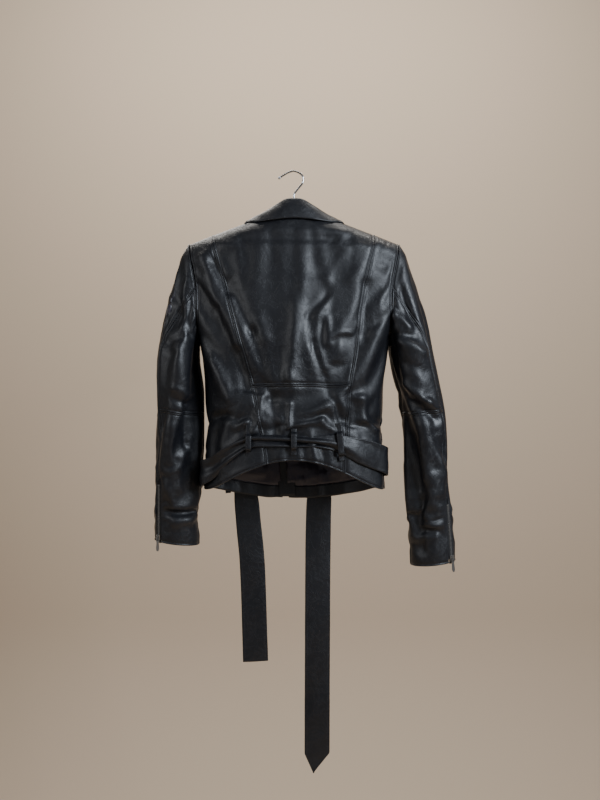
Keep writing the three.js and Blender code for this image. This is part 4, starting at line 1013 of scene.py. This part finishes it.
# ---- Belt ----
# One long strap of leather, edge-stitched, pulled through the loops. It is bunched where the back loops squeeze
# it, hangs wide over the hips and its two ends fall in front below the hem.
TAIL_Y, OUT = -84.0, 176.0
BELT_STATIONS = [
    (78, TAIL_Y, -957, 25, 0, 0, 0), (84, TAIL_Y + 2, -772, 25, 0, 0, 0), (92, TAIL_Y, -682, 25, 0, 0, 0),
    (98, TAIL_Y, -622, 24, 0, 7, 0.1), (106, TAIL_Y + 5, -586, 15, 0, 20, 0.3),
    (134, -60, -576, 2.5, 0, 25, 0.3),
    (172, -36, -574, 0, 0, 25, 0.1), (OUT, 0, -576, 0, 0, 25, 0.1), (171, 32, -568, 0, 0, 24, 0.3),
    (150, 46, -556, 3, 0, 20, 0.6), (118, 66, -530, 4, 0, 13, 1.0), (82, 74, -510, 0, 0, 10, 1.1),
    (40, 79, -507, 0, 0, 10, 1.1), (0, 80, -507, 0, 0, 10.5, 1.1), (-45, 79, -508, 0, 0, 10, 1.1),
    (-84, 75, -512, 1.5, 0, 16, 0.9), (-118, 66, -524, -2, 0, 22, 0.5), (-150, 48, -536, -2, 0, 25, 0.3),
    (-172, 30, -546, 0, 0, 25, 0.1), (-OUT, 0, -552, 0, 0, 25, 0), (-170, -34, -556, 0, 0, 25, 0),
    (-128, -60, -562, -2.5, 0, 25, 0.2), (-76, TAIL_Y + 5, -574, -12, 0, 21, 0.3),
    (-54, TAIL_Y, -608, -23, 0, 9, 0.1),
    (-48, TAIL_Y, -670, -25, 0, 0, 0), (-46, TAIL_Y + 3, -890, -25, 0, 0, 0), (-45, TAIL_Y, -1181, -25, 0, 0, 0),
]
stations = np.array(BELT_STATIONS, float)
BELT_ROWS = 620
track = resample(stations, np.linspace(0, len(stations) - 1, 4000))
along = lengths(track[:, :3])
track = np.stack([np.interp(np.linspace(0, along[-1], BELT_ROWS), along, track[:, k]) for k in range(7)], 1)
way = np.gradient(track[:, :3], axis=0)
way /= np.linalg.norm(way, axis=1, keepdims=True)
wide = track[:, 3:6]
wide = wide - way * np.sum(wide * way, 1, keepdims=True)
out = np.cross(way, wide)
out /= np.linalg.norm(out, axis=1, keepdims=True)
u = np.linspace(-1, 1, 21)
at = np.linspace(0, along[-1], BELT_ROWS)[:, None]
bunch = track[:, 6:7]
pleats = 3.0 * np.sin(2.6 * np.pi * u[None] * 0.5 + 0.8 + at / 60) + 1.3 * np.sin(2 * np.pi * u[None] + at / 23)
pleats = bunch * pleats
ripple = 1.1 * np.sin(at / 31 + u[None]) * (1 - 0.5 * np.minimum(1, bunch)) + 0.5 * np.sin(at / 13 + 2 * u[None])
cup = 1.0 * (1 - u[None] ** 2)
point = np.clip((along[-1] - at) / 40, 0.04, 1)
across = u[None] * point - 0.3 * (1 - point)
proud = (pleats + ripple + cup)[..., None]
belt_middle = track[:, None, :3] + wide[:, None] * across[..., None] + out[:, None] * proud
belt_normals = normals_of(belt_middle, belt_middle - out[:, None])
belt_face = belt_middle + belt_normals * 1.3
belt = shell_mesh("belt_leather", belt_face, belt_normals, 2.6, LEATHER_BLACK)
fasten(belt, stands_for="belt")
belt_back = belt_face - belt_normals * 2.6
belt_rows = [(belt_face[3:-12, k], belt_normals[3:-12, k]) for k in (2, -3)]
belt_rows += [(belt_back[3:-12, k], -belt_normals[3:-12, k]) for k in (2, -3)]
belt_threads = stitch_rows("belt_stitches", belt_rows)
fasten(belt_threads)


def belt_loop(name, station, facing, width=10.4, twist=0.0, reach=0.0):
    """A narrow strap over the belt, its ends sewn to the leather above and below it."""
    x, y, z, wx, _, wz, _ = BELT_STATIONS[station]
    half = math.hypot(wx, wz)
    slope = np.array([wx, 0, wz]) / half
    side = np.array([slope[2], 0, -slope[0]]) * width / 2
    stand = 6.2
    profile = [
        (half + 15 + reach, 0.4), (half + 10 + reach, 0.9), (half + 5.5, 2.4), (half + 2.2, stand),
        (half * 0.5, stand + 0.9), (0, stand + 1.1), (-half * 0.5, stand + 0.9),
        (-half - 2.2, stand), (-half - 5.5, 2.4), (-half - 10, 0.9), (-half - 15, 0.4),
    ]
    middle = []
    for i, (s, lift) in enumerate(profile):
        p = np.array([x, y, z]) + slope * s
        base = back_y(p[0], p[2]) if facing > 0 else front_y(p[0], p[2])
        sewn = base + facing * (lift + 0.8)
        over = y + facing * lift
        p[1] = over if lift > 5 else sewn
        if facing > 0 and p[1] < base + lift * 0.3:
            p[1] = base + lift
        middle.append(p)
    middle = smooth_line(middle, 40)
    v = np.linspace(-1, 1, 7)
    lean = twist * np.linspace(-1, 1, 40)[:, None]
    face = middle[:, None] + side[None, None] * v[None, :, None]
    face[..., 1] += facing * (lean * v[None] + 0.5 * (1 - v[None] ** 2))
    inside = face - np.array([0, facing * 1.0, 0])
    normals = normals_of(face, inside)
    piece = shell_mesh(name + "_leather", face + normals * 0.8, normals, 1.6, LEATHER_BLACK)
    fasten(piece, stands_for=name)
    declare_sheet(face)
    rows = [(face[1:-1, k] + normals[1:-1, k] * 0.8, normals[1:-1, k]) for k in (1, -2)]
    threads = stitch_rows(name + "_stitches", rows, pitch=3.4)
    fasten(threads)


belt_loop("belt_loop_back_left", 11, 1, reach=14)
belt_loop("belt_loop_back_centre", 13, 1)
belt_loop("belt_loop_back_right", 15, 1, 11, 1.5, reach=6)
belt_loop("belt_loop_front_left", 5, -1)
belt_loop("belt_loop_front_right", 21, -1)

# ---- Hanging loop ----
# A short leather strip bowed inside the back of the neck, its two ends sewn down.
loop_middle = []
for s in (-1, -0.8, -0.4, 0, 0.4, 0.8, 1):
    bow = 1 - s * s
    z = NECKLINE - 24 + bow * 5
    loop_middle.append((s * 34, back_y(s * 34, z) - 6.5 - bow * 7.5, z))
loop_middle = smooth_line(loop_middle, 30)
v = np.linspace(-3, 3, 6)
loop_face = loop_middle[:, None] + np.array([0, 0, 1.0])[None, None] * v[None, :, None]
loop_normals = normals_of(loop_face, loop_face + np.array([0, 1.0, 0]))
loop = shell_mesh("hanging_loop_leather", loop_face, loop_normals, 1.2, LEATHER_BLACK)
fasten(loop, stands_for="hanging_loop")
loop_rows = [(loop_face[1:-1, k], loop_normals[1:-1, k]) for k in (1, -2)]
loop_threads = stitch_rows("hanging_loop_stitches", loop_rows, pitch=3.4, radius=0.3)
fasten(loop_threads)

# ---- Metal and zips ----
# Five metal zips: woven tapes carry rows of separate cast teeth that mesh down the middle. The cuff and pocket
# zips have a stop at each end; the front one has a box at its foot. Sliders and pulls are nickel, smeared and
# finely scratched.
TOOTH_PITCH, TOOTH_HALF, TAPE_HALF = 2.5, 0.5, 5.8
CUFF_ZIP, POCKET_ZIP, FRONT_ZIP = 111, 118, 275


def metal(name, colour, rough, scratch=0.25):
    """A metal smeared and finely scratched, its roughness between two values."""
    material, tree, shader, where = finish(name)
    smear = node(tree, "ShaderNodeTexNoise", Scale=130.0, Detail=5.0, Roughness=0.65)
    fine = node(tree, "ShaderNodeTexNoise", Scale=1400.0, Detail=2.0)
    tree.links.new(where, smear.inputs["Vector"])
    tree.links.new(where, fine.inputs["Vector"])
    tone = node(tree, "ShaderNodeMix", data_type="RGBA")
    tone.inputs[6].default_value = (*colour, 1)
    tone.inputs[7].default_value = (*[c * 0.6 for c in colour], 1)
    tree.links.new(smear.outputs["Fac"], tone.inputs[0])
    tree.links.new(tone.outputs[2], shader.inputs["Base Color"])
    spread = tree.nodes.new("ShaderNodeMapRange")
    spread.inputs["To Min"].default_value, spread.inputs["To Max"].default_value = rough
    tree.links.new(smear.outputs["Fac"], spread.inputs["Value"])
    tree.links.new(spread.outputs["Result"], shader.inputs["Roughness"])
    bump = node(tree, "ShaderNodeBump", Strength=scratch, Distance=0.00004)
    tree.links.new(fine.outputs["Fac"], bump.inputs["Height"])
    tree.links.new(bump.outputs["Normal"], shader.inputs["Normal"])
    shader.inputs["Metallic"].default_value = 1.0
    return material


NICKEL = metal("nickel", (0.78, 0.77, 0.75), (0.12, 0.34))
TEETH = metal("zip_teeth", (0.62, 0.61, 0.59), (0.18, 0.42))
CHROME = metal("hook_chrome", (0.86, 0.86, 0.86), (0.05, 0.2), 0.08)
TAPE, tape_tree, tape_shader, tape_where = finish("zip_tape")
tape_weave = node(tape_tree, "ShaderNodeTexWave", Scale=700.0, Distortion=2.0, Detail=1.0)
tape_bump = node(tape_tree, "ShaderNodeBump", Strength=0.5, Distance=0.0001)
tape_tone = node(tape_tree, "ShaderNodeMix", data_type="RGBA")
tape_tone.inputs[6].default_value = (0.008, 0.008, 0.009, 1)
tape_tone.inputs[7].default_value = (0.02, 0.02, 0.022, 1)
tape_tree.links.new(tape_where, tape_weave.inputs["Vector"])
tape_tree.links.new(tape_weave.outputs["Fac"], tape_tone.inputs[0])
tape_tree.links.new(tape_tone.outputs[2], tape_shader.inputs["Base Color"])
tape_tree.links.new(tape_weave.outputs["Fac"], tape_bump.inputs["Height"])
tape_tree.links.new(tape_bump.outputs["Normal"], tape_shader.inputs["Normal"])
tape_shader.inputs["Roughness"].default_value = 0.8


def placed(name, points, faces, frame_of, material, body, stands_for=None, slot="hardware", smooth=True):
    """A closed piece given in a frame of its own, in millimetres, and fastened to a body."""
    origin, x, y, z = (np.array(v) for v in frame_of)
    points = np.array(points, float)
    world = origin + points[:, :1] * x + points[:, 1:2] * y + points[:, 2:] * z
    piece = made_of(name, (world / 1000).tolist(), [list(f) for f in faces], material, smooth=smooth)
    fasten(piece, body, stands_for)


def blocks(boxes):
    """Points and faces of bevelled blocks, each (x0, x1, y0, y1, z0, z1, bevel)."""
    points, faces = [], []
    for x0, x1, y0, y1, z0, z1, bevel in boxes:
        base = len(points)
        for z, inset in ((z0, bevel), (z0 + bevel, 0), (z1 - bevel, 0), (z1, bevel)):
            for px, py in ((x0, y0), (x1, y0), (x1, y1), (x0, y1)):
                cx, cy = (x0 + x1) / 2, (y0 + y1) / 2
                points.append((px + inset * np.sign(cx - px), py + inset * np.sign(cy - py), z))
        for k in range(3):
            for j in range(4):
                m = (j + 1) % 4
                faces.append([base + 4 * k + j, base + 4 * k + m, base + 4 * k + 4 + m, base + 4 * k + 4 + j])
        faces += [[base + 3, base + 2, base + 1, base], [base + 12 + j for j in range(4)]]
    return points, faces


def zip_line(name, frame_of, length, body, sides, stops=True):
    """Tapes and teeth of one zip; sides lists (node it stands for, +1 or -1 or 0 for both)."""
    tape_end = length + (9 if name == "cuff" else 1)
    for node_name, side in sides:
        both = (1, -1) if side == 0 else (side,)
        inner, outer = 0.6, TAPE_HALF
        tapes = [(*sorted((s * inner, s * outer)), -1, tape_end, -0.3, 0.3, 0.1) for s in both]
        placed(node_name + "_tape", *blocks(tapes), frame_of, TAPE, body, node_name, "zip_tape", smooth=False)
        teeth = []
        for s in both:
            for k in range(int(length / TOOTH_PITCH)):
                y = 1.2 + TOOTH_PITCH * k + (TOOTH_PITCH / 2 if s < 0 else 0)
                a, b = (-0.7, 2.7) if s > 0 else (-2.7, 0.7)
                teeth.append((a, b, y - TOOTH_HALF, y + TOOTH_HALF, -1.1, 1.1, 0.22))
        placed(node_name + "_teeth", *blocks(teeth), frame_of, TEETH, body, smooth=False)
        if stops:
            ends = [(-2.6, 2.6, y - 0.8, y + 0.8, -1.3, 1.3, 0.3) for y in (-0.4, length + 0.4)]
            placed(node_name + "_stops", *blocks(ends), frame_of, TEETH, body, smooth=False)


# Each zip's foot, the way across it, the way up it and the way out of it.
ZIP_FRAMES = {
    "cuff_left": (
        (258.72, -8.62, -704.46),
        (-0.8522, 0.515, -0.0926), (-0.0269, 0.1336, 0.9907), (0.5225, 0.8467, -0.1),
    ),
    "cuff_right": (
        (-298.71, 3.39, -741.46),
        (-0.8546, -0.5071, 0.1121), (0.0856, 0.0755, 0.9935), (-0.5122, 0.8586, -0.0211),
    ),
    "front": ((18.62, -70.1, -613), (0.9971, 0, -0.0767), (0.0767, 0.0279, 0.9967), (0.0021, -0.9996, 0.0278)),
    "pocket_left": (
        (90, -62.48, -563), (0.9643, 0.2325, -0.1267), (0.1177, 0.0526, 0.9917), (0.2372, -0.9712, 0.0233),
    ),
    "pocket_right": (
        (-90, -62.48, -563), (0.9643, -0.2325, 0.1267), (-0.1177, 0.0526, 0.9917), (-0.2372, -0.9712, 0.0233),
    ),
}
for side in ("left", "right"):
    zip_line("cuff", ZIP_FRAMES["cuff_" + side], CUFF_ZIP, "sleeve_" + side, [("cuff_zip_chain_" + side, 0)])
    zip_line("pocket", ZIP_FRAMES["pocket_" + side], POCKET_ZIP, "jacket", [("pocket_zip_chain_" + side, 0)])
front_sides = [("front_zip_side_left", 1), ("front_zip_side_right", -1)]
zip_line("front", ZIP_FRAMES["front"], FRONT_ZIP, "jacket", front_sides, False)
for node_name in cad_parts:
    if "_slider" in node_name or "_pull" in node_name or node_name == "front_zip_box":
        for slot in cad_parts[node_name].material_slots:
            slot.material = NICKEL

# ---- Pocket welts ----
# Each hand pocket's zip sits in a narrow leather frame, rolled at its edges and stitched down all round.
for side in ("left", "right"):
    ring = []
    for half, past in ((6.1, 2.6), (6.5, 3.0), (7.4, 4.2), (8.6, 5.8), (9.0, 6.8)):
        loop = []
        corners = [(-half, -past), (half, -past), (half, POCKET_ZIP + past), (-half, POCKET_ZIP + past)]
        for j in range(4):
            a, b = np.array(corners[j]), np.array(corners[(j + 1) % 4])
            steps = 4 if j % 2 == 0 else 40
            loop += [a + (b - a) * t / steps for t in range(steps)]
        ring.append(np.array(loop))
    heights = (-0.1, 0.75, 1.1, 0.8, 0.0)
    wave = 0.25 * np.sin(ring[0][:, 1] / 9)
    n = len(ring[0])
    points = [(*p, h + w) for loop, h in zip(ring, heights) for p, w in zip(loop, wave)]
    points += [(*p, -0.55) for p in ring[-1]] + [(*p, -0.55) for p in ring[0]]
    faces = []
    for k in range(7):
        for j in range(n):
            m, up = (j + 1) % n, (k + 1) % 7
            faces.append([k * n + j, k * n + m, up * n + m, up * n + j])
    welt, frame_of = "pocket_welt_" + side, ZIP_FRAMES["pocket_" + side]
    placed(welt + "_leather", points, faces, frame_of, LEATHER_BLACK, "jacket", welt, "leather")
    origin, ax, ay, az = (np.array(v) for v in frame_of)
    row = np.array([origin + p[0] * ax + p[1] * ay + 1.0 * az for p in np.concatenate([ring[2], ring[2][:1]])])
    threads = stitch_rows(welt + "_stitches", [(row, np.repeat(az[None], len(row), 0))], pitch=3.6)
    fasten(threads)

# ---- Press studs ----
# A press stud holds each lapel's tip: a domed nickel cap with a rolled rim.
STUD_OUTLINE = [
    (0, 0.1), (5.2, 0.1), (5.8, 0.4), (6.0, 0.9), (5.7, 1.35), (5.2, 1.45),
    (4.9, 1.3), (4.6, 1.5), (3.6, 2.1), (2.0, 2.5), (0, 2.6),
]
STUD_TURNS = 40


def circle(centre, radius, across, up, turns):
    """Points round a centre, in the plane of across and up."""
    angles = [2 * math.pi * t / turns for t in range(turns)]
    return [tuple(centre + radius * (math.cos(a) * across + math.sin(a) * up)) for a in angles]


def round_faces(rings, turns):
    """Faces between circles of points that follow one another."""
    faces = []
    for k in range(rings - 1):
        for t in range(turns):
            m = (t + 1) % turns
            faces.append([k * turns + t, k * turns + m, (k + 1) * turns + m, (k + 1) * turns + t])
    return faces


for side, sign in (("left", 1), ("right", -1)):
    points = []
    for r, h in STUD_OUTLINE:
        points += circle(np.array((0, 0, h)), r, np.array((1, 0, 0)), np.array((0, 1, 0)), STUD_TURNS)
    faces = round_faces(len(STUD_OUTLINE), STUD_TURNS)
    out = np.array([sign * 0.0909, -0.9933, 0.0714])
    ax = np.array([0.9958, sign * 0.0909, 0])
    ax = ax - out * (ax @ out)
    ax /= np.linalg.norm(ax)
    stud, frame_of = "lapel_stud_" + side, ((sign * 99, -54.6, -189), ax, np.cross(out, ax), out)
    placed(stud + "_cap", points, faces, frame_of, NICKEL, "jacket", stud)

# ---- Hanger ----
# A shaped wooden hanger fills the shoulders. Its wood is stained dark with the grain along its length, and the
# chromed wire hook turns in a ferrule at its middle.
WOOD, wood, wood_shader, wood_where = finish("stained_wood")
wood_stretch = node(wood, "ShaderNodeMapping", Scale=(6.0, 90.0, 90.0))
wood_grain = node(wood, "ShaderNodeTexNoise", Scale=3.0, Detail=8.0, Roughness=0.6, Distortion=0.6)
wood_tone = wood.nodes.new("ShaderNodeValToRGB")
wood_tone.color_ramp.elements[0].color = (0.022, 0.009, 0.004, 1)
wood_tone.color_ramp.elements[1].color = (0.10, 0.045, 0.02, 1)
wood_bump = node(wood, "ShaderNodeBump", Strength=0.2, Distance=0.0002)
wood.links.new(wood_where, wood_stretch.inputs["Vector"])
wood.links.new(wood_stretch.outputs["Vector"], wood_grain.inputs["Vector"])
wood.links.new(wood_grain.outputs["Fac"], wood_tone.inputs["Fac"])
wood.links.new(wood_tone.outputs["Color"], wood_shader.inputs["Base Color"])
wood.links.new(wood_grain.outputs["Fac"], wood_bump.inputs["Height"])
wood.links.new(wood_bump.outputs["Normal"], wood_shader.inputs["Normal"])
wood_shader.inputs["Roughness"].default_value = 0.35
wood_shader.inputs["Coat Weight"].default_value = 0.4

BAR_HALF, BAR_SPANS, BAR_TURNS = 187, 96, 20
points = []
for i in range(BAR_SPANS + 1):
    x = -BAR_HALF + 2 * BAR_HALF * i / BAR_SPANS
    near = abs(x)
    top = -70.9 - max(0.0, math.sqrt(near**2 + 30**2) - 30) * 50 / 130 - 2.0 * min(1, near / 68)
    high = 33 - 14 * near / BAR_HALF
    close = math.sqrt(max(0.02, 1 - max(0, (near - 180) / 7.2) ** 2))
    middle = top - high / 2
    for k in range(BAR_TURNS):
        a = 2 * math.pi * k / BAR_TURNS
        ca, sa = math.cos(a), math.sin(a)
        py = 5.0 * close * math.copysign(abs(ca) ** 0.7, ca)
        pz = middle + high / 2 * close * math.copysign(abs(sa) ** 0.7, sa)
        points.append((x, py, pz))
faces = round_faces(BAR_SPANS + 1, BAR_TURNS)
faces += [list(range(BAR_TURNS))[::-1], [BAR_SPANS * BAR_TURNS + k for k in range(BAR_TURNS)]]
STRAIGHT = ((0, 0, 0), (1, 0, 0), (0, 1, 0), (0, 0, 1))
placed("hanger_bar_wood", points, faces, STRAIGHT, WOOD, "jacket", "hanger_bar", "hanger_wood")
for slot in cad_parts["hanger_ferrule"].material_slots:
    slot.material = NICKEL

WIRE_PATH = [
    (0, 0, -88), (0, 0, -79), (0, 0, -70), (0, 0, -62), (0, 0, -51), (0, 0, -42), (-7, 0, -32), (-15.5, 0, -21),
    (-17, 0, -11), (-12, 0, -3.1), (0, 0, 1.9), (11, 0, -0.7), (19, 0, -5.1), (27, 0, -10.1),
]
WIRE, BALL, WIRE_TURNS = 1.9, 2.9, 16
wire = smooth_line(WIRE_PATH, 150)
way = np.gradient(wire, axis=0)
way /= np.linalg.norm(way, axis=1, keepdims=True)
back = np.array((0, 1, 0))
points = []
for p, w in zip(wire, way):
    points += circle(p, WIRE, np.cross(w, back), back, WIRE_TURNS)
end = way[-1]
for k in range(1, 9):
    a = math.pi * (0.22 + 0.78 * k / 8)
    centre = np.array(WIRE_PATH[-1]) + end * (1.6 - BALL * math.cos(a))
    points += circle(centre, max(BALL * math.sin(a), 0.05), np.cross(end, back), back, WIRE_TURNS)
rings = len(points) // WIRE_TURNS
faces = round_faces(rings, WIRE_TURNS)
faces += [list(range(WIRE_TURNS))[::-1], [(rings - 1) * WIRE_TURNS + t for t in range(WIRE_TURNS)]]
placed("hanger_hook_wire", points, faces, STRAIGHT, CHROME, "hook", "hanger_hook", "hook_wire")

# ---- Camera, light and floor ----
# The jacket is seen square on from behind at about the height of its waist, under a broad soft light from the
# right with a weaker one from the left, against a plain pale ground.
camera = bpy.data.objects.new("camera", bpy.data.cameras.new("camera"))
bpy.context.scene.collection.objects.link(camera)
camera.location = (-0.011, 1.5, -0.433)
camera.rotation_euler = (math.radians(90), 0, math.radians(180))
camera.data.sensor_fit = "VERTICAL"
camera.data.sensor_height = 24
camera.data.lens = 24 / (2 * 0.76 / 1.5)  # 0.76 m is seen above and below the middle, 1.5 m away
bpy.context.scene.camera = camera


def softbox(name, place, target, size, power, colour):
    lamp = bpy.data.objects.new(name, bpy.data.lights.new(name, "AREA"))
    bpy.context.scene.collection.objects.link(lamp)
    lamp.location = place
    lamp.rotation_euler = (Vector(target) - Vector(place)).to_track_quat("-Z", "Y").to_euler()
    lamp.data.shape = "RECTANGLE"
    lamp.data.size, lamp.data.size_y = size
    lamp.data.energy = power
    lamp.data.color = colour


softbox("key", (-1.5, 1.5, 0.45), (0, 0, -0.4), (0.9, 1.2), 54, (0.82, 0.90, 1.0))
softbox("fill", (1.7, 1.3, 0.1), (0, 0, -0.5), (0.9, 1.4), 9, (0.95, 0.97, 1.0))
softbox("front", (0.6, -1.7, 0.8), (0, 0, -0.4), (1.2, 1.2), 16, (1.0, 0.97, 0.93))
softbox("wash", (0, -0.9, 1.9), (0, -2.3, -0.7), (2.6, 0.6), 62, (1.0, 0.96, 0.9))
world = bpy.data.worlds.new("pale room")
world.use_nodes = True
world.node_tree.nodes["Background"].inputs["Color"].default_value = (0.84, 0.84, 0.86, 1)
world.node_tree.nodes["Background"].inputs["Strength"].default_value = 0.17
bpy.context.scene.world = world

# The ground is one pale sheet that runs flat under the jacket and curves up into a plain wall far behind it.
sweep = [(y, -2.4) for y in np.linspace(4.5, -1.5, 12)]
sweep += [(-1.5 - 0.9 * math.sin(a), -1.5 - 0.9 * math.cos(a)) for a in np.linspace(0, math.pi / 2, 14)[1:]]
sweep += [(-2.4, z) for z in np.linspace(-1.2, 2.2, 8)]
ground = bpy.data.meshes.new("floor")
ground.from_pydata(
    [(x, y, z) for y, z in sweep for x in (-4.5, 4.5)], [],
    [(2 * i, 2 * i + 1, 2 * i + 3, 2 * i + 2) for i in range(len(sweep) - 1)],
)
floor = bpy.data.objects.new("floor", ground)
bpy.context.scene.collection.objects.link(floor)
for polygon in ground.polygons:
    polygon.use_smooth = True
floor_paint = bpy.data.materials.new("pale_floor")
floor_paint.use_nodes = True
floor_shader = floor_paint.node_tree.nodes["Principled BSDF"]
floor_shader.inputs["Base Color"].default_value = (0.66, 0.53, 0.40, 1)
floor_shader.inputs["Roughness"].default_value = 0.85
ground.materials.append(floor_paint)
